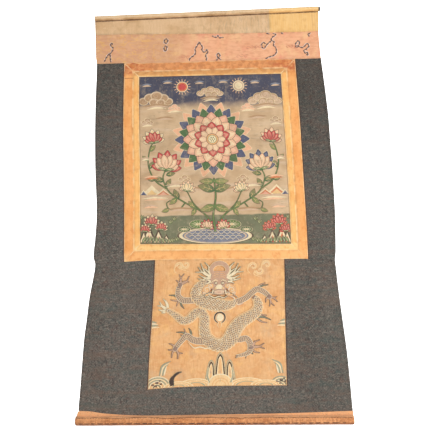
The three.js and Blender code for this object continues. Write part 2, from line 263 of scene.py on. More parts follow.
def corner(side_line, seam_line):
    """The place where a side line and a cross seam meet."""
    x = 0.0
    for _ in range(8):
        x = side_line(seam_line(x))
    return float(x), float(seam_line(x))


def mitre(outer_side, outer_seam, inner_side, inner_seam):
    """The straight line from the border's corner to the painting's, as x at z and z at x."""
    outer_x, outer_z = corner(outer_side, outer_seam)
    inner_x, inner_z = corner(inner_side, inner_seam)
    slope = (inner_z - outer_z) / (inner_x - outer_x)
    return (
        lambda z: outer_x + (z - outer_z) / slope,
        lambda x: outer_z + (x - outer_x) * slope,
    )


TOP_LEFT = mitre(border_left, cloud_foot, painting_left, painting_top)
TOP_RIGHT = mitre(border_right, cloud_foot, painting_right, painting_top)
FOOT_LEFT = mitre(border_left, border_foot, painting_left, painting_foot)
FOOT_RIGHT = mitre(border_right, border_foot, painting_right, painting_foot)


def soft_noise(x, z, size_x, size_z, seed):
    """Smooth unevenness from -1 to 1, with lumps of the given size."""
    lattice = np.random.default_rng(seed).uniform(-1, 1, (64, 64))
    u = np.asarray(x, float) / size_x + 20
    v = np.asarray(z, float) / size_z + 20
    i = np.floor(u).astype(int)
    j = np.floor(v).astype(int)
    a = ease(u - i)
    b = ease(v - j)
    corners = [lattice[(i + di) % 64, (j + dj) % 64] for di in (0, 1) for dj in (0, 1)]
    return mix(mix(corners[0], corners[1], b), mix(corners[2], corners[3], b), a)


def drape(x, z):
    """Depth of the hung cloth's middle at a place on its face."""
    x, z = np.broadcast_arrays(np.asarray(x, float), np.asarray(z, float))
    out = np.zeros(x.shape)
    for mid_x, mid_z, reach_x, reach_z, high in FOLDS:
        far = ((x - mid_x) / reach_x) ** 2 + ((z - mid_z) / reach_z) ** 2
        out += high * np.exp(-far)
    for from_x, from_z, to_x, to_z, width, high in CREASES:
        run_x, run_z = to_x - from_x, to_z - from_z
        along = ((x - from_x) * run_x + (z - from_z) * run_z) / (run_x**2 + run_z**2)
        held = np.clip(along, 0, 1)
        away = np.hypot(x - from_x - held * run_x, z - from_z - held * run_z)
        fade = ease(held * 4) * ease((1 - held) * 4)
        out += high * fade * np.exp(-((away / width) ** 2))
    out += 0.5 * soft_noise(x, z, 47, 61, 1) + 0.22 * soft_noise(x, z, 19, 23, 2)
    loose = ease((STIFF_TOP - z) / SOFTENS_OVER) * ease((z - STIFF_FOOT) / SOFTENS_OVER)
    return -out * loose


def place_in(edges, u, v):
    """A place inside four edge lines: u runs from left to right and v from top to foot."""
    left, right, top, foot = edges
    inset = SEAM_GAP / 2
    x = np.zeros(np.broadcast(u, v).shape)
    z = mix(top(0.0), foot(0.0), v) + x
    for _ in range(12):
        x = mix(left(z) + inset, right(z) - inset, u)
        z = mix(top(x) - inset, foot(x) + inset, v)
    return x, z


def spaced(length, cell=CELL, lips=LIPS):
    """Shares of a length, evenly spaced, with closer rows at both ends."""
    count = max(1, math.ceil((length - 2 * lips[-1]) / cell))
    body = np.linspace(lips[-1], length - lips[-1], count + 1)
    near = np.array((0.0,) + lips[:-1])
    return np.concatenate((near, body, (length - near)[::-1])) / length


# Shading


class Tone:
    """A socket of a finish. Used in sums, it adds the math nodes itself."""

    def __init__(self, finish, socket):
        self.finish = finish
        self.socket = socket

    def math(self, operation, *others):
        values = dict(enumerate((self,) + others))
        return self.finish.node("ShaderNodeMath", {"operation": operation}, values)

    def __add__(self, other):
        return self.math("ADD", other)

    def __sub__(self, other):
        return self.math("SUBTRACT", other)

    def __rsub__(self, other):
        return self.finish.node("ShaderNodeMath", {"operation": "SUBTRACT"}, {0: other, 1: self})

    def __mul__(self, other):
        return self.math("MULTIPLY", other)

    def __truediv__(self, other):
        return self.math("DIVIDE", other)

    def above(self, low, high):
        """0 below low and 1 above high, and the other way round if low is the larger."""
        values = {"Value": self, "From Min": low, "From Max": high}
        return self.finish.node("ShaderNodeMapRange", {"interpolation_type": "SMOOTHSTEP"}, values)

    def near(self, middle, width):
        """1 at the middle and 0 past the width, either side."""
        return (self - middle).math("ABSOLUTE").above(width, width * 0.4)


class Finish:
    """A material in the making. Its tone is the colour as it is so far."""

    def __init__(self, name, tone, roughness, sheen=0.0):
        self.tone = tone
        self.material = bpy.data.materials.new(name)
        self.material.use_nodes = True
        self.tree = self.material.node_tree
        self.shader = self.tree.nodes["Principled BSDF"]
        self.shader.inputs["Roughness"].default_value = roughness
        self.shader.inputs["Specular IOR Level"].default_value = 0.3
        self.shader.inputs["Sheen Weight"].default_value = sheen
        self.shader.inputs["Sheen Roughness"].default_value = 0.5
        place = self.node("ShaderNodeTexCoord", {}, {}, "Object")
        settings = {"operation": "SCALE"}
        self.place = self.node("ShaderNodeVectorMath", settings, {"Vector": place, "Scale": 1 / MM})

    def node(self, kind, settings, values, output=0):
        node = self.tree.nodes.new(kind)
        for key, value in settings.items():
            setattr(node, key, value)
        for key, value in values.items():
            self.feed(node.inputs[key], value)
        return Tone(self, node.outputs[output])

    def feed(self, socket, value):
        if isinstance(value, Tone):
            self.tree.links.new(value.socket, socket)
        elif isinstance(value, tuple) and socket.type == "RGBA":
            socket.default_value = (*value, 1)
        else:
            socket.default_value = value

    def axis(self, letter):
        return self.node("ShaderNodeSeparateXYZ", {}, {0: self.place}, letter)

    def fact(self, name, output="Fac"):
        """A number stored at each point of the mesh, or a colour."""
        return self.node("ShaderNodeAttribute", {"attribute_name": name}, {}, output)

    def noise(self, size, detail, stretch=(1, 1, 1), rough=0.55, shift=0.0):
        scale = tuple(1 / (size * s) for s in stretch)
        values = {"Vector": self.place, "Scale": scale, "Location": (shift, shift, shift)}
        vector = self.node("ShaderNodeMapping", {}, values)
        values = {"Vector": vector, "Scale": 1.0, "Detail": detail, "Roughness": rough}
        return self.node("ShaderNodeTexNoise", {}, values, "Fac")

    def blend(self, first, second, share):
        settings = {"data_type": "RGBA"}
        return self.node("ShaderNodeMix", settings, {0: share, 6: first, 7: second}, 2)

    def shade(self, colour, factor):
        """A colour made lighter or darker all over by a value."""
        values = {0: colour, 3: factor}
        return self.node("ShaderNodeVectorMath", {"operation": "SCALE"}, values)

    def relief(self, height, depth):
        """Bump of a height map, depth in millimetres."""
        values = {"Height": height, "Distance": depth * MM, "Strength": 1.0}
        self.feed(self.shader.inputs["Normal"], self.node("ShaderNodeBump", {}, values))

    def stain(self, colour, share):
        """Lays a colour over the tone: a hex code or the outcome of another blend."""
        colour = dye(colour) if isinstance(colour, str) else colour
        self.tone = self.blend(self.tone, colour, share)

    def darken(self, factor, share):
        self.stain(self.shade(self.tone, factor), share)

    def show(self):
        """The finished material."""
        self.feed(self.shader.inputs["Base Color"], self.tone)
        return self.material


def dye(code):
    """A colour as seen on the cloth, from its hex code, as linear light."""
    parts = [int(code[k : k + 2], 16) / 255 for k in (0, 2, 4)]
    return tuple(p / 12.92 if p < 0.04045 else ((p + 0.055) / 1.055) ** 2.4 for p in parts)


def weave(finish, pitch, depth, lump=0.6):
    """Plain weave with uneven threads, as relief."""
    slub = finish.noise(pitch * 2.5, 2, (1, 1, 9)) + finish.noise(pitch * 2.5, 2, (9, 1, 1), shift=7)
    over = (finish.axis("X") * (math.tau / pitch)).math("SINE")
    under = (finish.axis("Z") * (math.tau / pitch)).math("SINE")
    finish.relief(over * under * (1 - lump) + slub * lump, depth)


def silk(name, colour, deep, pale, ribs=(1, 1, 6)):
    """Worn silk: broad deeper patches, fine streaks along the weave and pale rubbed places."""
    finish = Finish(name, dye(colour), 0.72, sheen=0.15)
    broad = finish.noise(70, 4, shift=3).above(0.42, 0.68)
    streak = finish.noise(5, 3, ribs, shift=5).above(0.35, 0.7)
    rubbed = finish.noise(16, 5, rough=0.7, shift=11).above(0.56, 0.74)
    soiled = finish.fact("edge").above(9, 0.5) * finish.noise(24, 3).above(0.3, 0.65)
    finish.stain(deep, broad * 0.75)
    finish.stain(deep, streak * 0.35)
    finish.stain(pale, rubbed * 0.5)
    finish.darken(0.55, soiled * 0.55)
    weave(finish, 1.1, 0.12)
    return finish


def sleeve_highlight_and_shade(finish, crown_highlight, soil_and_shade):
    """Painted highlight on the sleeve's crown, painted shade beneath and a painted shadow line at the
    seam.
    """
    drop = finish.axis("Z") - finish.axis("X") * SLEEVE_TILT
    patchy = finish.noise(12, 4, (2.5, 1, 1), shift=37).above(0.3, 0.62)
    # Painted highlight on the crown, painted shade under it and a painted shadow line at the seam.
    crown = drop.near(-8, 7)
    under = drop.near(-16.5, 4.5) * patchy
    seam = drop.near(SEWN_UNDER, 3.0) * (patchy * 0.4 + 0.6)
    ridge = drop.above(-2.6, -1.0) * finish.axis("X").above(-90, 10)
    finish.stain(crown_highlight, crown * 0.4)
    finish.stain(soil_and_shade, under * 0.55)
    finish.stain("6A4528", seam * 0.9)
    finish.stain("7A5A40", ridge * 0.6)


def beige_silk():
    finish = silk("beige silk", "E4BE93", "D0A677", "EDCFA8")
    x = finish.axis("X")
    stain = finish.noise(44, 4, shift=17).above(0.48, 0.66)
    dust = finish.noise(5, 4, (1, 1, 4), shift=2).above(0.48, 0.7) * x.above(-60, 40)
    rib = finish.noise(2.6, 1, (1, 1, 30), shift=8).above(0.4, 0.6) * x.above(20, 120)
    fleck = finish.noise(3.2, 3, shift=63).above(0.6, 0.72)
    finish.stain("BC9466", stain * 0.5)
    finish.stain("9C8266", dust * 0.4)
    finish.stain("F0D3AC", rib * 0.22)
    finish.stain("A67F55", fleck * 0.4)
    blot = x.near(30, 48) * (finish.axis("Z") - x * SLEEVE_TILT).near(-14, 12)
    finish.stain("94704A", blot * finish.noise(9, 4).above(0.4, 0.6) * 0.55)
    sleeve_highlight_and_shade(finish, "F3D6AE", "A67C4E")
    return finish.show()


def yellow_heading_silk():
    finish = silk("yellow heading silk", "F1C17A", "E4AC62", "F8D698")
    x = finish.axis("X")
    line = x.near(348, 2.5) + x.near(357, 1.5)
    rib = finish.noise(2.6, 1, (1, 1, 30), shift=8).above(0.4, 0.6)
    soil_and_shade = finish.noise(22, 4, shift=71).above(0.5, 0.68)
    finish.stain("FBE0B0", rib * 0.18)
    finish.stain("D9A35F", soil_and_shade * 0.4)
    finish.stain("D9A874", line * 0.5)
    sleeve_highlight_and_shade(finish, "FBDFA8", "C98F4E")
    return finish.show()


def cloud_silk():
    finish = silk("cloud silk", "F1B58C", "E9A47B", "F8CBA0", ribs=(6, 1, 1))
    x = finish.axis("X")
    aged = x.above(-20, -150) * finish.noise(60, 4, shift=6).above(0.2, 0.5)
    salmon = finish.noise(50, 3, shift=23).above(0.52, 0.7) * x.above(-120, 0)
    scroll = finish.noise(26, 1, (1.4, 1, 0.8), shift=9).near(0.5, 0.035)
    fine = finish.noise(7, 3, (2.5, 1, 1), shift=77).above(0.45, 0.7)
    fade = finish.noise(30, 4, (1, 1, 2), shift=81).above(0.5, 0.68)
    finish.stain("D3A27A", aged * 0.75)
    finish.stain("E99778", salmon * 0.7)
    finish.stain("F3C690", fade * 0.5)
    finish.stain("E6B26E", scroll * x.above(-60, -180) * 0.7)
    finish.stain("CC8862", fine * 0.42)
    return finish.show()


def border_wear_and_highlight(finish, stained, pale):
    """Blotches and streaks of the border, and a painted highlight along its folded edge."""
    blotch = finish.noise(20, 5, rough=0.65, shift=91).above(0.5, 0.66)
    speck = finish.noise(4, 4, rough=0.7, shift=95).above(0.54, 0.7)
    # Painted highlight: the pale line along the folded edge.
    fold = finish.fact("edge").near(1.3, 1.5) * finish.noise(30, 2, shift=99).above(0.35, 0.6)
    finish.stain(stained, blotch * 0.5)
    finish.stain(stained, speck * 0.35)
    finish.stain(pale, fold * 0.6)


def orange_silk():
    finish = silk("orange silk", "FBB670", "E99A53", "FFCB8A")
    z = finish.axis("Z")
    red = z.above(-232, -214)
    grime = red * finish.noise(17, 4, shift=61).above(0.42, 0.62)
    crease = z.near(-236, 2.2) * finish.axis("X").above(-225, -235)
    low = z.above(-800, -830)
    aside_of_middle = finish.axis("X").math("ABSOLUTE").above(170, 240)
    corners = red * aside_of_middle * finish.noise(12, 4).above(0.4, 0.6)
    finish.stain("DE9460", red * 0.7)
    finish.stain("B06A40", grime * 0.55)
    finish.stain("B9532F", corners * 0.6)
    finish.stain("FDC382", low * 0.5)
    finish.stain("A85F38", crease * 0.7)
    border_wear_and_highlight(finish, "DB8745", "FFDDA6")
    return finish.show()


def yellow_silk():
    finish = silk("yellow silk", "FFC67D", "F3AD61", "FFD897")
    z = finish.axis("Z")
    grime = z.above(-232, -218) * finish.noise(17, 4, shift=67).above(0.38, 0.6)
    low = z.above(-790, -800)
    finish.stain("B97E4C", grime * 0.85)
    finish.stain("CF9058", z.above(-232, -222) * 0.6)
    finish.stain("FFD894", low * 0.5)
    border_wear_and_highlight(finish, "E29A52", "FFE3AE")
    return finish.show()


def dark_brocade():
    """Charcoal brocade: nested diamonds of a few dull thread colours, and vertical streaks."""
    finish = Finish("dark brocade", dye("44403C"), 0.88, sheen=0.05)
    pitch = 8.6
    x = finish.axis("X") + finish.noise(40, 2) * 3.0
    z = finish.axis("Z") + finish.noise(40, 2, shift=4) * 3.0
    rise = ((x + z) / pitch).math("PINGPONG", 0.5) * 2
    fall = ((x - z) / pitch).math("PINGPONG", 0.5) * 2
    nest = rise.math("MAXIMUM", fall)
    bars = (nest * 2.5).math("PINGPONG", 0.5).above(0.2, 0.32)
    key = rise.math("MINIMUM", fall).above(0.16, 0.08)
    figure = (bars + key * 0.7).math("MINIMUM", 1.0)
    cell = finish.noise(11, 1, (1, 1, 0.8), shift=31)
    field = finish.noise(42, 3, shift=35)
    rust = cell.above(0.57, 0.66) + field.above(0.55, 0.7) * 0.5
    teal = cell.above(0.42, 0.34) + field.above(0.45, 0.3) * 0.5
    worn = finish.noise(7, 5, rough=0.75, shift=13).above(0.45, 0.7)
    streak = finish.noise(4, 3, (1, 1, 9), shift=8).above(0.4, 0.65)
    broad = finish.noise(90, 3, shift=2).above(0.35, 0.7)
    finish.stain("544D48", broad)
    finish.stain("322F2F", streak * 0.5)
    thread = finish.blend(dye("837A70"), dye("83665A"), rust * 0.6)
    thread = finish.blend(thread, dye("5C6C66"), teal * 0.6)
    finish.stain(thread, figure * (1 - worn * 0.65) * 0.8)
    dust = finish.noise(4.6, 2, (1.9, 1, 0.8), shift=40).above(0.53, 0.66)
    pit = finish.noise(4.4, 2, (0.8, 1, 1.8), shift=43).above(0.53, 0.66)
    russet = finish.noise(30, 3, (5, 1, 0.7), shift=57).above(0.5, 0.64)
    green = finish.noise(28, 3, (5, 1, 0.6), shift=61).above(0.52, 0.66)
    finish.stain("9C9182", dust * 0.4)
    finish.stain("2B2827", pit * 0.48)
    finish.stain("7A6050", russet * 0.26)
    finish.stain("4C5D56", green * 0.27)
    high = finish.axis("Z").above(-760, -250)
    # Painted shade: the right side is darker, as if the light came from the left.
    right = finish.axis("X").above(180, 260)
    finish.darken(0.7, high * 0.9)
    finish.darken(0.86, right * 0.9)
    rim = finish.fact("seam").above(5, 0.5)
    finish.stain("4A2E28", rim * 0.75)
    weave(finish, 1.4, 0.2, lump=0.8)
    return finish.show()


def painted_ground():
    """Aged paint in three fields: slate sky, tan middle and a green meadow, cracked by rolling."""
    finish = Finish("painted ground", dye("D6B792"), 0.9)
    z = finish.axis("Z") + (finish.noise(46, 3, (1.6, 1, 1)) - 0.5) * 34
    sky = z.above(-352, -318)
    meadow = (finish.axis("Z") + (finish.noise(30, 3) - 0.5) * 8).above(-699, -704)
    deep = finish.noise(50, 4, shift=3).above(0.35, 0.7)
    haze = finish.noise(26, 4, (4, 1, 0.7), shift=5).above(0.5, 0.7)
    finish.stain("C3A27D", deep)
    finish.stain("D9BEA0", haze * 0.6)
    night = finish.blend(dye("3A4056"), dye("464D61"), deep)
    grass = finish.blend(dye("697057"), dye("767C61"), deep)
    finish.stain(night, sky * 0.95)
    finish.stain(grass, meadow * 0.92)
    finish.stain("C9B08C", rubbed_paint(finish) * 0.35)
    rim = finish.fact("edge").above(4, 0.3)
    finish.stain("6A4630", rim * 0.55)
    finish.relief(finish.noise(1.6, 3) + cracks(finish) * 1.5, 0.12)
    age(finish)
    return finish.show()


def cracks(finish):
    """Fine cross cracks where the cloth was rolled."""
    across = finish.noise(22, 2, (5, 1, 0.35), shift=14).near(0.5, 0.012)
    return across * finish.noise(60, 2, shift=19).above(0.45, 0.6)


def age(finish):
    """Smoke in broad patches, runs of damp and a network of fine cracks."""
    smoke = finish.noise(55, 4, shift=103).above(0.48, 0.72)
    damp = finish.noise(9, 3, (1, 1, 14), shift=107).above(0.58, 0.7)
    bloom_of_dust = finish.noise(34, 5, rough=0.7, shift=109).above(0.52, 0.68)
    finish.stain("6E5C4A", smoke * 0.22)
    finish.stain("C9B08C", damp * 0.12)
    finish.stain("DCC4A2", bloom_of_dust * 0.2)
    finish.stain("6E5E48", cracks(finish) * 0.35)


def rubbed_paint(finish):
    return finish.noise(8, 6, rough=0.72, shift=27).above(0.55, 0.68)


def paint():
    """Painted strokes, rubbed so that the ground shows a little."""
    finish = Finish("paint", None, 0.85)
    finish.tone = finish.fact("tint", "Color")
    uneven = finish.noise(6, 4, rough=0.65).above(0.4, 0.75)
    finish.darken(0.75, uneven * 0.5)
    finish.stain("C2A583", rubbed_paint(finish) * 0.45 + 0.03)
    finish.relief(finish.noise(1.4, 3), 0.1)
    age(finish)
    return finish.show()


def panel_silk():
    finish = silk("panel silk", "EBB67F", "DE9F66", "F4C892", ribs=(1, 1, 4))
    wisp = finish.noise(34, 2, (1.5, 1, 0.7), shift=21).near(0.52, 0.03)
    grey = finish.noise(60, 4, shift=33).above(0.52, 0.7)
    low = finish.axis("Z").above(-1120, -1215) * finish.noise(40, 3).above(0.35, 0.6)
    finish.stain("F8D6A2", wisp * 0.18)
    finish.stain("C2A283", grey * 0.45)
    finish.stain("CFA77C", low * 0.4)
    warp = finish.noise(3, 3, (1, 1, 8), shift=87).above(0.5, 0.7)
    blotch = finish.noise(15, 5, rough=0.65, shift=93).above(0.5, 0.66)
    gilt = finish.noise(38, 4, shift=121).above(0.5, 0.66)
    finish.stain("F7C27C", gilt * 0.5)
    finish.stain("C98D54", warp * 0.42)
    finish.stain("D39255", blotch * 0.5)
    return finish.show()


def thread():
    """Couched silk thread, worn through here and there to the ground."""
    finish = Finish("thread", None, 0.6, sheen=0.2)
    finish.tone = finish.fact("tint", "Color")
    lay = finish.noise(1.6, 2, (1, 1, 5), shift=3).above(0.35, 0.65)
    gone = finish.noise(6, 5, rough=0.7, shift=12).above(0.58, 0.68)
    finish.darken(0.72, lay * 0.5)
    finish.stain("D9A878", gone * 0.55)
    finish.relief(finish.noise(0.9, 2, (1, 1, 6)), 0.25)
    return finish.show()


def copper_silk():
    """The roller's cover: a painted highlight along the top, ribbed, and painted shade along the
    bottom.
    """
    finish = silk("copper silk", "E5A16B", "C27A46", "F4BE8A", ribs=(1, 1, 5))
    rise = finish.axis("Z") - finish.axis("X") * ROLLER_TILT - ROLLER_AXIS
    rib = finish.noise(3.2, 2, (1, 6, 14), shift=12).above(0.45, 0.62)
    patchy = finish.noise(9, 4, (2, 1, 1), shift=44).above(0.42, 0.62)
    # Painted highlight along the roller's top and painted shade along its underside.
    top = rise.above(4, 9)
    foot = rise.above(-4.5, -9.5)
    bright = finish.noise(7, 4, rough=0.7, shift=47).above(0.5, 0.66)
    speck = finish.noise(3.6, 3, rough=0.7, shift=49).above(0.56, 0.68)
    finish.stain("A9633A", rib * rise.above(7, 2) * 0.5)
    finish.stain("F0B98A", top * 0.5)
    finish.stain("F7AE70", bright * rise.above(-9, -4) * 0.75)
    finish.stain("8E5431", patchy * rise.above(6, -4) * 0.5)
    finish.stain("7A4628", speck * 0.5)
    finish.stain("6E3E24", foot * 0.55)
    return finish.show()


def dark_wood():
    finish = Finish("dark wood", dye("38281C"), 0.6)
    grain = finish.noise(3, 4, (12, 1, 1)).above(0.35, 0.7)
    finish.stain("20160F", grain)
    finish.relief(grain, 0.2)
    return finish.show()


def reverse_cloth(name, colour, deep):
    """The plain back of a piece: bare weave and old paste marks."""
    finish = Finish(name, dye(colour), 0.92)
    marks = finish.noise(80, 4, shift=51).above(0.45, 0.65)
    streak = finish.noise(6, 3, (1, 1, 7), shift=53).above(0.4, 0.7)
    finish.stain(deep, marks * 0.6)
    finish.stain(deep, streak * 0.35)
    weave(finish, 1.3, 0.2)
    return finish.show()


BEIGE_SILK = beige_silk()
YELLOW_HEADING_SILK = yellow_heading_silk()
CLOUD_SILK = cloud_silk()
ORANGE_SILK = orange_silk()
YELLOW_SILK = yellow_silk()
DARK_BROCADE = dark_brocade()
PAINTED_GROUND = painted_ground()
PAINT = paint()
PANEL_SILK = panel_silk()
THREAD = thread()
COPPER_SILK = copper_silk()
DARK_WOOD = dark_wood()
SILK_BACK = reverse_cloth("silk back", "C9A77E", "B08C62")
BROCADE_BACK = reverse_cloth("brocade back", "6B635A", "564E47")
COTTON_BACK = reverse_cloth("cotton back", "BFA988", "A28B69")


# Meshes


def keep(name, points, faces, materials, replaces, facts=None, reverse=None, sharp=0.9):
    """Makes one piece of the scroll from points in millimetres."""
    mesh = bpy.data.meshes.new(name)
    mesh.from_pydata((np.asarray(points) * MM).tolist(), [], faces)
    for material in materials:
        mesh.materials.append(material)
    if reverse is not None:
        mesh.polygons.foreach_set("material_index", np.asarray(reverse, int))
    for key, values in (facts or {}).items():
        values = np.asarray(values, float)
        kind, field = ("FLOAT", "value") if values.ndim == 1 else ("FLOAT_COLOR", "color")
        mesh.attributes.new(key, kind, "POINT").data.foreach_set(field, values.ravel())
    work = bmesh.new()
    work.from_mesh(mesh)
    bmesh.ops.recalc_face_normals(work, faces=work.faces)
    work.to_mesh(mesh)
    work.free()
    mesh.shade_smooth()
    mesh.set_sharp_from_angle(angle=sharp)
    piece = bpy.data.objects.new(name, mesh)
    bpy.context.scene.collection.objects.link(piece)
    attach(piece, "root")
    if replaces:
        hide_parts(*replaces)
    return piece


def grid_faces(columns, rows):
    """Quads between neighbouring points of a grid that was stored row by row."""
    i, j = np.meshgrid(np.arange(columns - 1), np.arange(rows - 1))
    a = (j * columns + i).ravel()
    return np.stack((a, a + 1, a + 1 + columns, a + columns), axis=1)


def rim_faces(columns, rows):
    """Quads that close a front grid to a back grid of the same size all the way round."""
    top = np.arange(columns)
    right = np.arange(1, rows) * columns + columns - 1
    foot = (rows - 1) * columns + np.arange(columns - 2, -1, -1)
    left = np.arange(rows - 2, 0, -1) * columns
    ring = np.concatenate((top, right, foot, left))
    after = np.roll(ring, -1)
    back = columns * rows
    return np.stack((ring, ring + back, after + back, after), axis=1)


def slab_faces(columns, rows):
    """Faces of a front grid, of the same grid stored behind it, and of the rim between them."""
    front = grid_faces(columns, rows)
    return np.concatenate((front, front + rows * columns, rim_faces(columns, rows)))


def cloth(name, edges, front, back, slot, thickness=SILK, hem=None, seams="lr", trims=()):
    """A sewn piece of cloth on the hung folds, with rounded edges and a hem on a free side."""
    u = np.array((0.0, 1.0))
    x, z = place_in(edges, u[None, :], u[:, None])
    trims = list(trims)
    if hem:
        trims.append(hem_stitches(name + "_stitches", edges, hem))
    wide = np.hypot(np.diff(x, axis=1), np.diff(z, axis=1)).max()
    tall = np.hypot(np.diff(x, axis=0), np.diff(z, axis=0)).max()
    across = spaced(wide)
    if hem:
        fold = np.array((HEM - HEM_STEP / 2, HEM + HEM_STEP / 2)) / wide
        across = np.union1d(across, fold if hem == "left" else 1 - fold)
    down = spaced(tall)
    x, z = place_in(edges, across[None, :], down[:, None])
    left, right, top, foot = edges
    from_left = x - left(z)
    from_right = right(z) - x
    edge = np.minimum.reduce((from_left, from_right, top(x) - z, z - foot(x)))
    seam = np.full_like(x, NO_SEAM)
    low = NO_SEAM * (z < BARE_BELOW)
    for letter, gap in (
        ("l", from_left + low),
        ("r", from_right + low),
        ("t", (top(x) - z) * 2 + CROSS_SEAM),
        ("f", (z - foot(x)) * 2 + CROSS_SEAM),
    ):
        if letter in seams:
            seam = np.minimum(seam, gap)
    middle = drape(x, z)
    round_off = sum(fall * np.exp(-((edge / reach) ** 2)) for fall, reach in FACE_ROUND)
    raised = np.zeros_like(x)
    if hem:
        from_side = from_left if hem == "left" else from_right
        raised = HEM_RAISE * ease((HEM + HEM_STEP / 2 - from_side) / HEM_STEP)
    face_y = middle - thickness / 2 + round_off - raised
    back_y = middle + thickness / 2 - BACK_ROUND[0] * np.exp(-((edge / BACK_ROUND[1]) ** 2))
    rows, columns = x.shape
    points = np.concatenate(
        [np.stack((x, y, z), axis=2).reshape(-1, 3) for y in (face_y, back_y)]
    )
    faces = slab_faces(columns, rows)
    front_count = (columns - 1) * (rows - 1)
    reverse = np.zeros(len(faces), int)
    reverse[front_count : 2 * front_count] = 1
    facts = {"edge": np.tile(edge.ravel(), 2), "seam": np.tile(seam.ravel(), 2)}
    sides = front, back
    piece = keep(name + "_cloth", points, faces.tolist(), sides, (name,), facts, reverse)


PAINTING_EDGES = (painting_left, painting_right, painting_top, painting_foot)
PANEL_EDGES = (panel_left, panel_right, border_foot, panel_foot)

# Ornament


def curve(points, step):
    """An even run of points on a smooth line through a few."""
    points = np.asarray(points, float)
    before = 2 * points[:1] - points[1:2]
    beyond = 2 * points[-1:] - points[-2:-1]
    knots = np.concatenate((before, points, beyond))
    t = np.linspace(0, 1, 12, endpoint=False)[:, None]
    parts = []
    for a, b, c, d in zip(knots, knots[1:], knots[2:], knots[3:]):
        bend = (2 * a - 5 * b + 4 * c - d) * t**2 + (3 * b - a - 3 * c + d) * t**3
        parts.append(b + (c - a) * t / 2 + bend / 2)
    fine = np.concatenate(parts + [points[-1:]])
    run = np.concatenate(([0], np.hypot(*np.diff(fine, axis=0).T).cumsum()))
    places = np.linspace(0, run[-1], max(4, math.ceil(run[-1] / step)) + 1)
    return np.stack([np.interp(places, run, fine[:, k]) for k in (0, 1)], axis=1)


def widths(line, *values):
    """Half widths along a line, evenly between the given ones."""
    return np.interp(np.linspace(0, 1, len(line)), np.linspace(0, 1, len(values)), values)


def aside(line):
    """The direction square to a line at each of its points."""
    ahead = np.gradient(line, axis=0)
    return np.stack((-ahead[:, 1], ahead[:, 0]), axis=1) / np.hypot(*ahead.T)[:, None]


SET_IN = 0.4  # how deep each strip of a relief is set in
STRIP_CELL = 7.0


class Relief:
    """Strips of thread or paint that lie on a surface. lay gives a strip's points from places
    on the surface and their heights above it."""

    def __init__(self, lay, base, coat):
        self.lay = lay
        self.base = base  # height of the lowest strip
        self.coat = coat  # how much higher each later strip lies
        self.level = 0
        self.total = 0
        self.places, self.heights, self.tints, self.faces = [], [], [], []

    def restart(self):
        """Back to the surface, for a motif clear of the ones before."""
        self.level = 0

    def band(self, first, second, tint, crown=0.0, lift=0.0):
        """A strip between two lines of as many points, in one colour or one for each point."""
        first, second = np.asarray(first, float), np.asarray(second, float)
        wide = np.hypot(*(second - first).T).max()
        columns = max(3 if crown else 2, min(60, math.ceil(wide / STRIP_CELL) + 1))
        if crown:
            columns += 1 - columns % 2
        share = np.linspace(0, 1, columns)[None, :, None]
        grid = first[:, None] * (1 - share) + second[:, None] * share
        rows = len(first)
        swell = crown * (1 - (2 * share[..., 0] - 1) ** 2)
        height = self.base + self.coat * self.level + swell + np.reshape(lift, (-1, 1))
        height = np.broadcast_to(height, (rows, columns)).ravel()
        self.places.append(np.tile(grid.reshape(-1, 2), (2, 1)))
        self.heights.append(np.concatenate((height, np.full(rows * columns, -SET_IN))))
        shades = np.broadcast_to(np.reshape(tint, (-1, 1, 3)), (rows, columns, 3)).reshape(-1, 3)
        self.tints.append(np.tile(np.insert(shades, 3, 1.0, axis=1), (2, 1)))
        self.faces.append(slab_faces(columns, rows) + self.total)
        self.total += 2 * rows * columns
        self.level += 1

    def ribbon(self, line, half, tint, crown=0.0, lift=0.0):
        """A strip along a line, half as wide as given to each side."""
        away = aside(line) * np.broadcast_to(half, len(line))[:, None]
        self.band(line - away, line + away, tint, crown, lift)

    def edged(self, line, half, tint, edge, rim, crown):
        """A ribbon with an edge of another colour on both sides."""
        self.ribbon(line, np.broadcast_to(half, len(line)) + rim, edge)
        self.ribbon(line, half, tint, crown, lift=0.1)

    def disc(self, centre, radius, tint, squash=1.0, crown=0.0):
        short = 0.06  # radians by which the outline ends before each side
        turn = np.linspace(short, math.pi - short, math.ceil(radius / 3) + 6)
        x = centre[0] - radius * np.cos(turn)
        rise = radius * squash * np.sin(turn)
        first = np.stack((x, centre[1] - rise), axis=1)
        second = np.stack((x, centre[1] + rise), axis=1)
        self.band(first, second, tint, crown)

    def dashes(self, line, length, gap, half, tint, crown=0.2):
        """Stitches along an even line."""
        step = np.hypot(*(line[1] - line[0]))
        each = max(2, round(length / step) + 1)
        for start in range(0, len(line) - each, each - 1 + max(1, round(gap / step))):
            self.ribbon(line[start : start + each], half, tint, crown)
            self.level -= 1

    def make(self, name, material, sharp=1.3):
        points = self.lay(*np.concatenate(self.places).T, np.concatenate(self.heights))
        faces = np.concatenate(self.faces).tolist()
        facts = {"tint": np.concatenate(self.tints)}
        return keep(name, points, faces, (material,), (), facts, sharp=sharp)


def on_cloth(x, z, height, thickness=SILK):
    return np.stack((x, drape(x, z) - thickness / 2 - height, z), axis=1)


DRAWN_FROM = 0.004  # share of a piece's width and length that its drawing keeps clear
DRAWN_ON = 0.001  # how far places beyond that stay apart, so that no strip closes up


def inside(edges, width, length, thickness=SILK):
    """Lays a drawing of a width and length, from the middle of its top, on a piece of cloth."""

    def lay(x, down, height):
        u, v = (
            np.clip(share, DRAWN_FROM, 1 - DRAWN_FROM) + DRAWN_ON * (share - 0.5)
            for share in (x / width + 0.5, down / length)
        )
        x, z = place_in(edges, u, v)
        return on_cloth(x, z, height, thickness)

    return lay


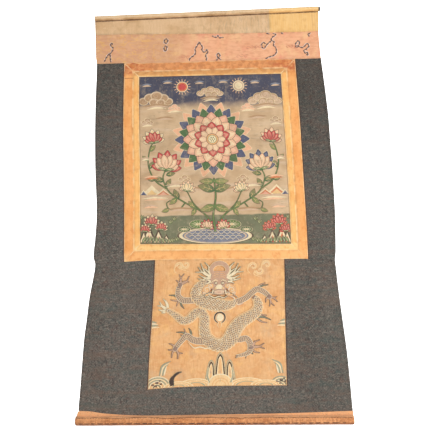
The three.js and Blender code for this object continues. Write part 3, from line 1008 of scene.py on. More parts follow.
def blade(root, turn, length, half, rows, bend=0.0, blunt=0.8):
    """The two edges of a petal or leaf. turn is its direction in degrees from straight down."""
    t = np.linspace(0.0, 1.0, rows)[:, None]
    way = math.radians(turn)
    ahead = np.array((math.sin(way), math.cos(way)))
    across = np.array((ahead[1], -ahead[0]))
    middle = np.asarray(root) + length * t * ahead + bend * t * t * across
    swell = half * np.sin(math.pi * np.clip(t, 0.02, 0.985) ** blunt) ** 0.75
    away = aside(middle) * swell
    return middle, middle - away, middle + away


def fade(first, second, count, share=1.0):
    """A run of colours from one towards another, as far as the given share."""
    t = np.linspace(0, share, count)[:, None]
    return np.asarray(first) * (1 - t) + np.asarray(second) * t


PETAL_BLUNT = 1.25
BLADE_ROW = 7.0  # length of a petal or leaf for each row of its points
LINED_FROM = 36.0  # petals longer than this have a fine line at each side
VEINED = (24.0, 60.0)  # leaves between these lengths have side veins


def blade_rows(length):
    return max(6, math.ceil(length / BLADE_ROW))


def petal(relief, root, turn, length, half, edge, fill, light, bend=0.0):
    """A petal with a drawn edge and a paler tongue in its middle."""
    rows = blade_rows(length)
    _, first, second = blade(root, turn, length + 1.5, half + 1.0, rows, bend, PETAL_BLUNT)
    relief.band(first, second, edge)
    _, first, second = blade(root, turn, length, half, rows, bend, PETAL_BLUNT)
    relief.band(first, second, fade(edge, fill, len(first) * 3)[len(first) * 2 :])
    tongue = root, turn, length * 0.9, half * 0.62
    _, first, second = blade(*tongue, rows, bend * 0.85, PETAL_BLUNT)
    relief.band(first, second, fade(fill, light, len(first), 0.75))
    for side in (-0.5, 0.5) if length > LINED_FROM else ():
        line = root, turn + side * 9, length * 0.66, half * 0.09
        _, first, second = blade(*line, rows, bend * 0.5, PETAL_BLUNT)
        relief.band(first, second, fade(fill, edge, len(first), 0.5))


def leaf(relief, root, turn, length, half, edge, fill, vein, bend=0.0):
    """A leaf with a drawn edge, a midrib and side veins."""
    rows = blade_rows(length)
    _, first, second = blade(root, turn, length + 1.4, half + 0.9, rows, bend)
    relief.band(first, second, edge)
    middle, first, second = blade(root, turn, length, half, rows, bend)
    relief.band(first, second, fade(fill, vein, len(first), 0.3))
    relief.ribbon(middle[1:-2], widths(middle[1:-2], 0.7, 0.3), vein)
    for k in range(2, len(middle) - 2, 2) if VEINED[0] < length < VEINED[1] else ():
        for rim_side in (first, second):
            reach = np.linspace(middle[k], rim_side[k + 1] * 0.8 + middle[k + 1] * 0.2, 3)
            relief.ribbon(reach, 0.32, vein)
            relief.level -= 1
    relief.level += 1


def spiral(centre, radius, start, turns, count=22):
    """A curl that winds in to its centre, from a direction in degrees."""
    t = np.linspace(0, 0.86, count)
    turn = math.radians(start) + math.tau * turns * t
    away = radius * (1 - t)
    x = centre[0] + away * np.cos(turn)
    return np.stack((x, centre[1] + away * np.sin(turn)), axis=1)


def mirrored(points, side):
    return [(x * side, y) for x, y in points]


STITCH_STEP = 1.5
HEM_SEWN = 5.6  # from the free side to its stitches


def sleeve_stitches(name, left, right):
    """The seam sewn under the sleeve."""
    relief = Relief(on_cloth, 0.12, 0.0)
    x = np.arange(float(left(SEWN_UNDER)) + 3, float(right(SEWN_UNDER)) - 3, STITCH_STEP)
    under = np.stack((x, sleeve_middle(x) + SEWN_UNDER + SLEEVE_HALF_HEIGHT - 1.2), axis=1)
    relief.dashes(under, 7.5, 3.0, 0.8, dye("5E4029"), 0.3)
    return relief.make(name, THREAD)


def hem_stitches(name, edges, hem):
    """The stitches of a hem turned to the back, along its free side."""
    left, right, top, foot = edges
    side, inward = (left, HEM_SEWN) if hem == "left" else (right, -HEM_SEWN)
    x = float(side(-500.0))
    z = np.arange(float(top(x)) - 8, float(foot(x)) + 8, -STITCH_STEP)
    relief = Relief(on_cloth, 0.7, 0.0)
    relief.dashes(np.stack((side(z) + inward, z), axis=1), 4.5, 4.5, 0.5, dye("2E2827"), 0.2)
    return relief.make(name, THREAD)


def on_roller(x, rise, height):
    """Places on the roller's front: rise runs up round it from the level of its axis."""
    turn = rise / ROLLER_RADIUS
    away = ROLLER_RADIUS + height
    z = ROLLER_AXIS + ROLLER_TILT * x + away * np.sin(turn)
    return np.stack((x, -away * np.cos(turn), z), axis=1)


def roller_threads():
    """The wavy seam of the roller's cover, and the dark dashes along its foot."""
    brown = dye("7A4526")
    relief = Relief(on_roller, 0.25, 0.0)
    x = np.arange(ROLLER_LEFT + 4, ROLLER_RIGHT - 3, 2.0)
    wave = 9.5 + 2.2 * soft_noise(x, 0 * x, 70, 50, 12) + 0.8 * soft_noise(x, 0 * x, 14, 50, 13)
    half = 0.8 + 0.35 * soft_noise(x, 0 * x, 9, 9, 3)
    relief.ribbon(np.stack((x, wave), axis=1), half, brown, 0.2)
    relief.dashes(np.stack((x, wave - 2.4), axis=1), 4.0, 4.0, 0.5, dye("A5623A"), 0.2)
    tick = np.stack((np.linspace(ROLLER_LEFT + 1, ROLLER_LEFT + 10, 5), np.full(5, 13.0)), axis=1)
    relief.ribbon(tick, widths(tick, 1.2, 0.9, 0.4), dye("3A2318"), 0.2)
    start = ROLLER_LEFT + 10
    while start < ROLLER_RIGHT - 24:
        length = rng.uniform(9, 24)
        run = np.linspace(0, 1, 9)
        sag = -6.6 - 1.2 * np.sin(math.pi * run)
        half = rng.uniform(1.0, 1.9) * np.sin(math.pi * np.clip(run, 0.08, 0.92)) ** 0.5
        relief.ribbon(np.stack((start + length * run, sag), axis=1), half, dye("4A2C1E"), 0.2)
        start += length + rng.uniform(3, 10)
    return relief.make("roller_threads", THREAD)


# The woven clouds of the band

CLOUD_SCRAPS = (
    ((-345, -176), (-340, -164), (-334, -153), (-327, -149), (-326, -164), (-324, -179)),
    ((-327, -149), (-320, -140), (-317, -129), (-325, -121), (-323, -110), (-319, -117)),
    ((-142, -97), (-136, -104), (-139, -113), (-146, -113), (-148, -105), (-143, -99)),
    ((-145, -122), (-139, -128), (-141, -138), (-146, -142), (-149, -133), (-146, -125)),
    ((-66, -180), (-62, -170), (-49, -160), (-44, -150), (-45, -138), (-38, -126), (-32, -113)),
    ((-32, -113), (-27, -122), (-21, -132), (-23, -143), (-14, -150), (-6, -141), (-4, -150)),
    ((-4, -150), (-11, -161), (-8, -171), (-10, -180)),
    ((25, -180), (29, -170), (26, -162), (31, -154), (36, -162), (32, -172), (40, -177)),
    ((12, -91), (20, -96), (28, -95), (31, -89), (35, -97), (43, -98), (49, -96)),
    ((214, -87), (223, -93), (211, -103), (208, -113), (216, -118), (214, -131), (221, -139)),
    ((221, -139), (223, -155), (214, -167), (198, -172), (186, -178)),
    ((208, -115), (198, -123), (190, -132), (182, -142), (175, -133), (179, -121), (189, -125)),
    ((192, -87), (203, -90)),
    ((241, -87), (249, -89)),
    ((297, -114), (288, -126), (291, -140), (297, -132), (302, -120), (296, -115)),
    ((298, -135), (308, -140), (316, -136), (326, -126), (332, -134), (323, -145), (313, -151)),
    ((313, -151), (318, -160), (325, -158), (327, -168), (321, -167)),
    ((340, -87), (331, -93), (335, -100)),
)


def cloud_threads():
    relief = Relief(on_cloth, 0.25, 0.05)
    pale, dark = dye("F2D3C0"), dye("70594F")
    faint = dye("D99A7C")
    for k, scrap in enumerate(CLOUD_SCRAPS):
        line = curve(scrap, 1.8)
        away = aside(line)
        line = line + away * 0.7 * np.sin(np.arange(len(line)) * 1.1 + k)[:, None]
        relief.restart()
        relief.ribbon(line + away * 1.3, widths(line, 1.6, 2.4, 2.2, 1.6), pale, 0.1)
        thick = 1.8 + 0.8 * np.sin(np.arange(len(line)) * 0.9 + k)
        relief.ribbon(line, thick, dark, 0.3, lift=0.1)
    for x in (-250, -205, -96, 96, 130, 158, 262):
        for step in range(3):
            centre = (x + 13 * step, -168 + 5 * (step % 2) + 30 * (x % 4 == 2))
            relief.ribbon(spiral(centre, 7, 200 * step, 1.1), 0.6, faint, 0.1)
    return relief.make("cloud_threads", THREAD)


# The dragon of the lower panel, in millimetres from the middle of the panel's top

PANEL_WIDE = 400.0
PANEL_LONG = 376.0

MAUVE = dye("9C8171")
GREY = dye("8F7D6E")
FLESH = dye("CDA487")
STRAW = dye("F4CC95")
SCALE = dye("EACA9B")
CREAM = dye("F3DFB8")
DARK = dye("66544A")
INK = dye("4C3C33")
TEAL = dye("A7A488")
MOSS = dye("85846C")
GOLD = dye("EDB87E")
PALE = dye("F8DBAB")
ROSE = dye("D99C86")

# The spine and its half widths
NECK = table(
    "x y half",
    (-36, 66, 6), (-52, 76, 10), (-66, 92, 14), (-68, 112, 16), (-49, 128, 17), (-18, 137, 18),
    (16, 141, 16.5), (38, 138, 12), (52, 130, 6),
)
TRUNK = table(
    "x y half",
    (104, 116, 5), (114, 126, 11), (119, 143, 13.5), (112, 161, 14.5), (92, 176, 16), (66, 192, 18),
    (48, 215, 19.5), (36, 240, 19.5), (14, 257, 17.5), (-12, 254, 16.5), (-33, 236, 16),
    (-41, 208, 14.5), (-41, 180, 13), (-53, 162, 12), (-71, 165, 11.5), (-86, 180, 11),
    (-105, 185, 10), (-124, 172, 8.5), (-144, 158, 6), (-158, 151, 4),
)


BODY_STEP = 3.0
SCALE_WIDE = 7.4
SCALE_ROW = SCALE_WIDE * 0.62  # from one row of scales to the next


class Body:
    """A long body, with places given by the run along it and the share of its half width."""

    def __init__(self, rows):
        self.line = curve([(row["x"], row["y"]) for row in rows], BODY_STEP)
        self.half = widths(self.line, *(row["half"] for row in rows))
        self.away = aside(self.line)
        self.run = np.arange(len(self.line)) * BODY_STEP

    def at(self, run, share):
        centre = [np.interp(run, self.run, self.line[:, k]) for k in (0, 1)]
        away = [np.interp(run, self.run, self.away[:, k] * self.half) for k in (0, 1)]
        return np.stack([c + a * share for c, a in zip(centre, away)], axis=-1)


def scaled_body(relief, rows, fin_side):
    """A dragon's body: a cream edge, rows of scales, a belly line and fins down the back."""
    body = Body(rows)
    for run in np.arange(6.0, body.run[-1] - 8, 8.5):
        root, tip = body.at(np.array([run, run + 7]), np.array([0.9, 1.34]) * fin_side)
        relief.ribbon(np.linspace(root, tip, 5), np.array((2.0, 1.9, 1.4, 0.8, 0.2)), CREAM, 0.2)
        relief.level -= 1
    relief.level += 1
    crown = 1.2
    relief.ribbon(body.line, body.half + 3.6, PALE)
    relief.ribbon(body.line, body.half + 2.4, GOLD, lift=0.05)
    relief.ribbon(body.line, body.half + 0.6, GREY, 0.3, lift=0.1)
    relief.ribbon(body.line, body.half - 0.7, MAUVE, crown, lift=0.3)
    turn = np.linspace(-1.35, 1.35, 5)
    for row, run in enumerate(np.arange(3.0, body.run[-1] - 4, SCALE_ROW)):
        half = float(np.interp(run, body.run, body.half))
        count = max(1, round(2 * half / SCALE_WIDE))
        for k in range(count + row % 2):
            middle = (k + 0.5 - 0.5 * (row % 2)) * 2 / count - 1
            along = run + SCALE_ROW * np.cos(turn)
            share = np.clip(middle + np.sin(turn) * 1.02 / count, -0.97, 0.97)
            arc = body.at(along, share)
            if np.hypot(*(arc[0] - arc[-1])) > 1.5:
                tint = SCALE if (row + k) % 4 else CREAM
                relief.ribbon(arc, 0.92, tint, 0.25, lift=0.4 + crown * (1 - share**2))
                relief.level -= 1
    relief.level += 2
    belly = body.at(body.run, np.full(len(body.run), -0.93 * fin_side))
    relief.ribbon(belly[2:-2], 0.7, PALE, 0.3, lift=0.4)


def limb(relief, points, halves):
    """A leg with short bars across it."""
    line = curve(points, 2.6)
    half = widths(line, *halves)
    relief.edged(line, half, MAUVE, CREAM, 1.5, 0.6)
    away = aside(line)
    for k in range(2, len(line) - 2, 2):
        ends = line[k] - away[k] * half[k] * 0.8, line[k] + away[k] * half[k] * 0.8
        bar = np.linspace(*ends, 5)
        bar[1:-1] += (line[k] - line[k - 1]) * 0.7
        relief.ribbon(bar, 0.85, SCALE, 0.2, lift=np.array((0.4, 0.65, 0.8, 0.65, 0.4)))
        relief.level -= 1
    relief.level += 2


def hooks(relief, root, tips, half, tint, edge):
    """Claws or locks of hair that curve out from one place."""
    root_x, root_y = root
    for x, y, bend in tips:
        middle = ((root_x + x) / 2 - (y - root_y) * bend, (root_y + y) / 2 + (x - root_x) * bend)
        line = curve((root, middle, (x, y)), 3.0)
        relief.edged(line, widths(line, half, half * 0.8, 0.35), tint, edge, 0.9, 0.5)


# The mane's tips on the right, and how much each lock bends
MANE = (
    (34, 20, 0.1), (46, 10, -0.12), (58, 13, 0.12), (52, 28, -0.1), (66, 24, 0.1), (74, 40, -0.12),
    (62, 50, 0.12), (54, 66, -0.1), (66, 60, 0.14),
)


def head(relief):
    for side in (-1, 1):
        tips = [(x * side, y, bend * side) for x, y, bend in MANE]
        hooks(relief, (22 * side, 58), tips, 2.5, CREAM, MOSS)
    relief.level += 1
    arch = curve([(-21, 46), (-25, 31), (-16, 18), (0, 13), (16, 18), (25, 31), (21, 46)], 2.0)
    relief.edged(arch, widths(arch, 5, 6, 6.5, 6, 5), FLESH, PALE, 1.2, 0.7)
    face = curve([(0, 38), (0, 56), (0, 72), (0, 88), (0, 104)], 2.0)
    relief.edged(face, widths(face, 20, 24, 28, 25, 21, 19), FLESH, MAUVE, 1.2, 0.7)
    relief.base += 0.3
    for side in (-1, 1):
        cheek = curve(mirrored([(18, 82), (32, 86), (41, 97), (35, 107), (22, 108)], side), 2.0)
        relief.edged(cheek, widths(cheek, 4, 9, 10, 7, 3), GOLD, FLESH, 1.6, 0.5)
        for x, y, radius in ((38, 95, 10), (29, 84, 6), (28, 107, 6), (46, 106, 5)):
            curl = spiral((x * side, y), radius, 90 + 80 * side, 1.25 * side, 16)
            relief.ribbon(curl, widths(curl, 2.2, 1.6, 0.8), ROSE, 0.3, lift=0.5)
            relief.ribbon(curl, widths(curl, 1.5, 1.1, 0.6), CREAM, 0.4, lift=0.6)
        hooks(relief, (26 * side, 70), [(44 * side, 64, 0.1), (46 * side, 76, -0.1)], 2.6, CREAM, GREY)
        brow = curve(mirrored([(4, 69), (11, 65), (20, 69), (26, 76)], side), 1.5)
        relief.edged(brow, widths(brow, 0.8, 1.7, 1.3, 0.5), PALE, MAUVE, 0.8, 0.4)
        for radius, tint, crown in ((5.4, DARK, 0.6), (4.4, CREAM, 0.9), (2.0, INK, 1.1)):
            relief.disc((10.5 * side, 74.5), radius, tint, 0.85, crown)
        for step in range(3):
            y = 44 + 6.5 * step
            fold = curve(mirrored([(1, y), (9, y - 2), (18, y + 3)], side), 1.5)
            relief.ribbon(fold, 0.7, GOLD, 0.4)
    snout = curve([(0, 79), (0, 84), (0, 89), (0, 93)], 1.5)
    relief.edged(snout, widths(snout, 5, 9.5, 12, 12.5), CREAM, MAUVE, 1.2, 0.8)
    for side in (-1, 1):
        relief.disc((11 * side, 90), 4.2, STRAW, 0.8, 1.2)
        relief.disc((10 * side, 90.5), 1.6, DARK, 0.8, 1.4)
    mouth = curve([(-15, 103), (0, 102), (15, 103)], 1.5)
    relief.edged(mouth, widths(mouth, 4.5, 7, 4.5), ROSE, MAUVE, 1.3, 0.3)
    for k in range(-4, 5):
        for start, tip in ((95.8, 101.4), (108.6, 103.2)):
            bend = abs(k) * 0.35 * (1 if start < 100 else -1)
            tooth = np.linspace((k * 3.3, start + bend), (k * 3.3, tip + bend), 4)
            relief.ribbon(tooth, np.array((1.1, 1.15, 1.1, 0.7)), CREAM, 0.7, lift=0.3)
            relief.level -= 1
    relief.level += 2
    for side in (-1, 1):
        fang = curve(mirrored([(18, 96), (20, 102), (18, 109)], side), 1.5)
        relief.edged(fang, widths(fang, 2.4, 1.8, 0.5), CREAM, MAUVE, 0.8, 0.6)
    relief.base -= 0.3
    for side in (-1, 1):
        whisker = curve(mirrored([(8, 106), (24, 103), (40, 107), (58, 119)], side), 1.5)
        relief.edged(whisker, widths(whisker, 1.4, 1.2, 0.4), DARK, CREAM, 0.8, 0.6)
    jaw_points = [(-48, 110), (-38, 117), (-28, 113), (-14, 119), (0, 115), (14, 119), (26, 113)]
    jaw = curve(jaw_points, 1.5)
    relief.edged(jaw, widths(jaw, 0.6, 1.6, 1.6, 0.6), CREAM, DARK, 1.2, 0.6)


# Legs: their points and half widths, then the claws
LEGS = (
    (
        [(-66, 124), (-90, 126), (-110, 124), (-123, 112), (-125, 98), (-122, 84)],
        (8.5, 8, 8, 7.5, 6.5, 6),
        (-119, 78),
        [(-133, 64, 0.1), (-124, 46, 0.14), (-108, 44, -0.14), (-92, 52, 0.16), (-92, 70, -0.2)],
    ),
    (
        [(44, 133), (64, 128), (84, 118), (102, 102), (116, 94), (134, 100), (150, 112)],
        (8, 7.5, 7.5, 7.5, 7.5, 7, 6),
        (153, 116),
        [(176, 116, 0.16), (178, 132, -0.1), (168, 144, 0.12), (153, 146, -0.1), (142, 134, 0.2)],
    ),
    (
        [(48, 240), (66, 242), (84, 240), (94, 252), (96, 268), (90, 281), (72, 288), (54, 291)],
        (9, 8, 7, 7.5, 7, 5.5, 4, 2.5),
        (98, 266),
        [(108, 246, 0.2), (124, 244, -0.14), (137, 254, 0.12), (138, 270, -0.12), (124, 282, 0.16)],
    ),
    (
        [(-34, 246), (-54, 246), (-74, 242), (-92, 230), (-104, 240), (-116, 254), (-124, 264)],
        (10, 9, 8.5, 8, 7, 6.5, 6),
        (-124, 266),
        [
            (-144, 250, 0.14), (-146, 268, -0.12), (-134, 292, 0.12), (-116, 296, -0.14),
            (-102, 280, 0.2),
        ],
    ),
)

# Locks of flame behind the joints
FLAMES = (
    (-116, 122, ((-153, 108, 0.12), (-148, 122, -0.1), (-104, 150, 0.14), (-128, 142, 0.1))),
    (112, 96, ((128, 78, 0.1), (141, 74, -0.12), (150, 80, -0.12), (126, 92, 0.1))),
    (
        112, 177,
        ((131, 168, 0.12), (146, 172, -0.1), (158, 186, -0.1), (146, 194, 0.12), (132, 190, 0.1)),
    ),
    (-80, 232, ((-88, 207, 0.12), (-102, 208, -0.14), (-124, 218, 0.1), (-112, 226, -0.1))),
    (96, 270, ((104, 286, 0.14), (82, 298, 0.12), (52, 296, -0.08))),
)

# The tail's tuft
TAIL = (
    (-170, 118, 0.12), (-180, 126, -0.1), (-186, 138, 0.1), (-182, 150, -0.1), (-172, 160, -0.12),
    (-162, 122, 0.1),
)


def peak(relief, x, top, foot, half, lean):
    """A rock with steep sides, in bands of teal, dark and pale, with an oval mark."""
    for inset, tint in ((-3.6, TEAL), (-1.4, STRAW), (0, INK), (4.6, PALE), (7.4, STRAW), (9.6, GOLD)):
        if half - inset < 2.5:
            break
        start = top + inset * 1.3
        y = np.linspace(start, foot, 12)
        share = (y - start) / (foot - start)
        wide = (half - inset) * np.clip(share, 0.003, 1) ** 0.36
        middle = x + lean * (1 - share)
        first, second = np.stack((middle - wide, y), 1), np.stack((middle + wide, y), 1)
        relief.band(first, second, tint, lift=0.1 * (inset > 0))
    mark = np.stack((np.full(7, x + lean * 0.5), np.linspace(foot - 38, foot - 26, 7)), axis=1)
    relief.ribbon(mark, widths(mark, 0.5, 2.4, 0.5), FLESH, 0.3)
    mark[:, 1] += 22
    relief.ribbon(mark, widths(mark, 0.8, 3.2, 2.4), TEAL, 0.3)


def surf(relief, x, y, radius, tints, squash, fill=None):
    """A wave as nested arches, cut off level at their foot."""
    steps = 17
    if fill:
        run = np.linspace(-0.98, 0.98, steps) * radius
        top = np.stack((x + run, y - squash * np.sqrt(radius**2 - run**2)), axis=1)
        relief.band(top, np.stack((x + run, np.full(steps, float(y))), axis=1), fill)
    turn = np.linspace(math.pi, math.tau, steps)
    for k, tint in enumerate(tints):
        size = radius - k * 4.2
        if size < 3:
            break
        line = np.stack((x + size * np.cos(turn), y + squash * size * np.sin(turn)), axis=1)
        relief.ribbon(line, 1.5, tint, 0.3)


def shore(relief):
    for x, wide, squash in ((-62, 50, 0.42), (-112, 42, 0.34), (86, 56, 0.38), (140, 44, 0.34)):
        surf(relief, x, 375, wide, (PALE, STRAW, GOLD, PALE, GOLD, STRAW, TEAL, GOLD), squash, GOLD)
    relief.restart()
    peak(relief, -21, 306, 368, 12.5, 3)
    peak(relief, 38, 306, 368, 12.5, -3)
    peak(relief, 8, 285, 368, 16, 0)
    for side in (-1, 1):
        spray = curve([(8 + 30 * side, 366), (8 + 37 * side, 346), (8 + 33 * side, 322)], 2.0)
        relief.edged(spray, widths(spray, 2.5, 2, 0.6), TEAL, PALE, 0.9, 0.3)
    surf(relief, 9, 374, 36, (CREAM, STRAW, STRAW, GOLD, STRAW, GOLD, STRAW), 0.88, STRAW)
    relief.restart()
    for x, high, tints in (
        (-174, 39, (CREAM, TEAL, PALE, TEAL, CREAM, GOLD, PALE, MOSS, PALE)),
        (184, 30, (TEAL, PALE, TEAL, CREAM, MOSS, PALE, TEAL)),
    ):
        surf(relief, x, 374, high, tints, 0.8)
        for dx, dy, size in ((-12, -5, 4.5), (0, -10, 5), (11, -6, 4), (-3, -1, 4), (8, -15, 3)):
            relief.disc((x + dx, 370 + dy), size, INK, 0.7, 0.4)
            relief.disc((x + dx - 0.5, 369.6 + dy), size * 0.45, ROSE, 0.7, 0.5)
    plume = curve([(-104, 333), (-114, 336), (-124, 343), (-132, 355), (-130, 371)], 1.5)
    relief.edged(plume, widths(plume, 0.8, 3, 3.5, 6.5, 5), INK, MOSS, 1.0, 0.5)
    for side, x in ((-1, -150), (1, 172)):
        for k, tint in enumerate((TEAL, PALE, TEAL, CREAM)):
            start = (x - 14 * side + 4 * k * side, 301 + 4.5 * k)
            middle = (x + (10 - 3 * k) * side, 313 + 4 * k)
            wisp = curve([start, middle, (x + (18 - 4.5 * k) * side, 341)], 2.0)
            relief.ribbon(wisp, widths(wisp, 0.8, 2.6, 1.4), tint, 0.3)


def wisps(relief):
    """Faint curled clouds round the edges of the panel."""
    for x, y, side in ((-122, 22, 1), (-104, 16, -1), (104, 24, 1), (124, 36, -1), (146, 18, 1)):
        for radius, turns, halves, tint in (
            (15, 1.3, (2.6, 2.0, 1.0), STRAW),
            (10, 1.1, (1.4, 0.6), PALE),
        ):
            curl = spiral((x, y), radius, 180, turns * side)
            relief.ribbon(curl, widths(curl, *halves), tint, 0.2)
        tail = curve([(x - 15, y), (x - 17, y + 12), (x - 8 * side, y + 22)], 2.0)
        relief.ribbon(tail, widths(tail, 2.2, 0.7), STRAW, 0.2)
    for side in (-1, 1):
        for k, tint in enumerate((TEAL, CREAM, TEAL, PALE)):
            tip = (side * (184 - 3 * k), 188 + 4.5 * k)
            scrap = curve([(side * 199, 184 + 6 * k), (side * 192, 186 + 5 * k), tip], 2.0)
            relief.ribbon(scrap, widths(scrap, 2.6, 2.2, 0.8), tint, 0.3)


def dragon_threads():
    relief = Relief(inside(PANEL_EDGES, PANEL_WIDE, PANEL_LONG), 0.3, 0.02)
    wisps(relief)
    relief.restart()
    shore(relief)
    relief.restart()
    for x, y, tips in FLAMES:
        hooks(relief, (x, y), tips[::2], 3.0, MOSS, INK)
        hooks(relief, (x, y), tips[1::2], 2.4, FLESH, DARK)
    hooks(relief, (-154, 152), TAIL, 3.4, CREAM, TEAL)
    for points, halves, paw, claws in LEGS:
        hooks(relief, paw, claws, 2.2, FLESH, DARK)
        limb(relief, points, halves)
        relief.disc(paw, 8, CREAM)
        relief.disc(paw, 6.8, MAUVE, 1.0, 1.6)
    scaled_body(relief, TRUNK, -1)
    scaled_body(relief, NECK, 1)
    ridge = curve([(-88, 248), (-70, 265), (-52, 263), (-36, 268), (-18, 266), (-4, 272)], 2.0)
    relief.ribbon(ridge, widths(ridge, 0.6, 1.8, 1.8, 0.8), CREAM, 0.5)
    collar = curve([(26, 112), (44, 118), (50, 130), (58, 140), (74, 136)], 2.0)
    relief.edged(collar, widths(collar, 0.8, 1.8, 1.6, 0.6), CREAM, ROSE, 0.7, 0.6)
    head(relief)
    relief.restart()
    turn = np.linspace(math.radians(112), math.radians(428), 50)
    ring = np.stack((4 + 15.5 * np.cos(turn), 178 + 15.5 * np.sin(turn)), axis=1)
    relief.edged(ring, widths(ring, 1.2, 2.2, 2.4, 2.2, 1.2), INK, CREAM, 0.8, 0.5)
    relief.disc((4, 178), 11, CREAM, 1.0, 0.9)
    relief.ribbon(spiral((4, 178), 6.5, 40, 1.4), 0.6, MAUVE, 0.6)
    for side in (-1, 1):
        drop = curve([(4 + 3 * side, 191), (4 + 6 * side, 200), (4 + 2 * side, 208)], 1.5)
        relief.ribbon(drop, widths(drop, 1.4, 0.5), PALE, 0.3)
        tape = curve([(side * 198.6, 4), (side * 198.6, 372)], 2.5)
        relief.dashes(tape, 5, 2.5, 0.7, CREAM)
    return relief.make("dragon_threads", THREAD)


# The painting's lotus pond, in millimetres from the middle of the painting's top

PAINT_WIDE = 466.0
PAINT_LONG = 562.0

NIGHT = dye("444B69")
SLATE = dye("7F8492")
PEACH = dye("F3C29B")
BLUSH = dye("E9AD90")
LINEN = dye("F2DCB2")
WHEAT = dye("EDC487")
CORAL = dye("CC4C4C")
EMBER = dye("D98258")
REED = dye("69824F")
FERN = dye("4A6A47")
OCHRE = dye("B8936E")
MIST = dye("D5B596")
UMBER = dye("5B4B40")

# Petals: the colours of their edge, their body and the light in their middle
ROSY = (UMBER, CORAL, BLUSH)
FAIR = (UMBER, PEACH, LINEN)
SNOW = (UMBER, LINEN, WHEAT)
DUSK = (LINEN, NIGHT, SLATE)


def around(count, start=0.0):
    return [start + 360 * k / count for k in range(count)]


def out_from(centre, turn, reach):
    """A point in a direction in degrees from straight down."""
    way = math.radians(turn)
    return centre[0] + reach * math.sin(way), centre[1] + reach * math.cos(way)


OVERLAP = 5  # levels by which every second petal or leaf lies over its neighbours


def ring_of(relief, draw, centre, count, start, reach, *shape):
    """Petals or leaves that start at a reach from a centre, all the way round it."""
    ground = relief.level
    for k, turn in enumerate(around(count, start)):
        relief.level = ground + OVERLAP * (k % 2)
        draw(relief, out_from(centre, turn, reach), turn, *shape)
    relief.level = ground + 2 * OVERLAP


def bloom(relief, root, size, tilt, back, front):
    """A lotus seen from its side, on its calyx."""
    for spread, reach, half, tints in (
        (74, 0.82, 0.19, back),
        (50, 0.96, 0.2, back),
        (26, 1.05, 0.21, back),
        (0, 1.1, 0.22, back),
        (62, 0.7, 0.2, front),
        (38, 0.8, 0.21, front),
        (13, 0.86, 0.2, front),
    ):
        ground = relief.level
        for side in (-1, 1) if spread else (1,):
            if spread > 30:
                relief.level = ground
            turn = 180 + tilt + side * spread
            petal(relief, root, turn, size * reach, size * half, *tints, bend=side * spread * 0.05)
    relief.disc((root[0], root[1] + size * 0.03), size * 0.14, FERN, 0.6)
    for side in (-1, 1):
        leaf(relief, root, 180 + tilt + 84 * side, size * 0.42, size * 0.08, UMBER, REED, LINEN)


def pad(relief, centre, radius, squash, fill):
    """A round leaf with its veins and a turned edge."""
    relief.disc(centre, radius + 1.2, LINEN, squash)
    relief.disc(centre, radius, UMBER, squash)
    relief.disc(centre, radius - 1.0, fill, squash)
    for turn in around(12, 15):
        way = math.radians(turn)
        reach = np.linspace(0.12, 0.85, 6)[:, None] * radius
        line = np.asarray(centre) + reach * np.array((math.cos(way), squash * math.sin(way)))
        relief.ribbon(line, widths(line, 0.8, 0.3), LINEN)
        relief.level -= 1
    relief.level += 1
    relief.disc(centre, radius * 0.13, WHEAT, squash)


def cloud_bank(relief, x, y, lobes, fill, shade):
    """A bank of curled clouds: each lobe has a pale edge, a body, a shade and a curl."""
    relief.restart()
    for dx, dy, radius in lobes:
        relief.disc((x + dx, y + dy), radius + 1.3, LINEN, 0.8)
        relief.disc((x + dx, y + dy), radius, shade, 0.8)
        relief.disc((x + dx, y + dy + 1.8), radius - 2.2, fill, 0.8)
        side = 1 if dx < 0 else -1
        curl = spiral((x + dx, y + dy), radius * 0.62, 270, 1.15 * side, 14)
        relief.ribbon(curl, widths(curl, 0.9, 0.4), shade)


def trail(relief, x, y, length, tints, drift=3.0):
    """Long thin streaks of cloud that taper at both ends."""
    ground = relief.level
    for k, tint in enumerate(tints):
        reach = length * (1 - 0.16 * k)
        drop = y + 5 * k
        line = curve([(x - reach / 2, drop + drift), (x, drop - drift), (x + reach / 2, drop)], 5.0)
        relief.ribbon(line, widths(line, 0.3, 2.6, 3.2, 2.4, 0.3), tint)
    relief.level = ground


def far_hill(relief, x, y, half, height, tints):
    for k, tint in enumerate(tints):
        wide, high = half * (1 - 0.24 * k), height * (1 - 0.26 * k)
        run = np.linspace(-1, 1, 15)
        top = np.stack((x + run * wide, y - high * (1 - np.abs(run)) ** 1.25), axis=1)
        relief.band(top, np.stack((x + run * wide, np.full(15, y + 0.5)), axis=1), tint)


def vine(relief, points, half=2.2):
    line = curve(points, 3.0)
    relief.ribbon(line, widths(line, half + 1.0, half * 0.6 + 0.9), UMBER)
    relief.ribbon(line, widths(line, half, half * 0.6), REED)
    return line


# The lobes of a bank of clouds: each one's middle and radius
PUFFS = (
    (-42, 4, 15), (38, 6, 14), (-22, -8, 17), (22, -6, 16), (0, -14, 18), (-8, 8, 15), (14, 9, 13),
)
SMALL_PUFFS = ((-12, 2, 7), (11, 3, 7), (0, -4, 9), (4, 6, 6))


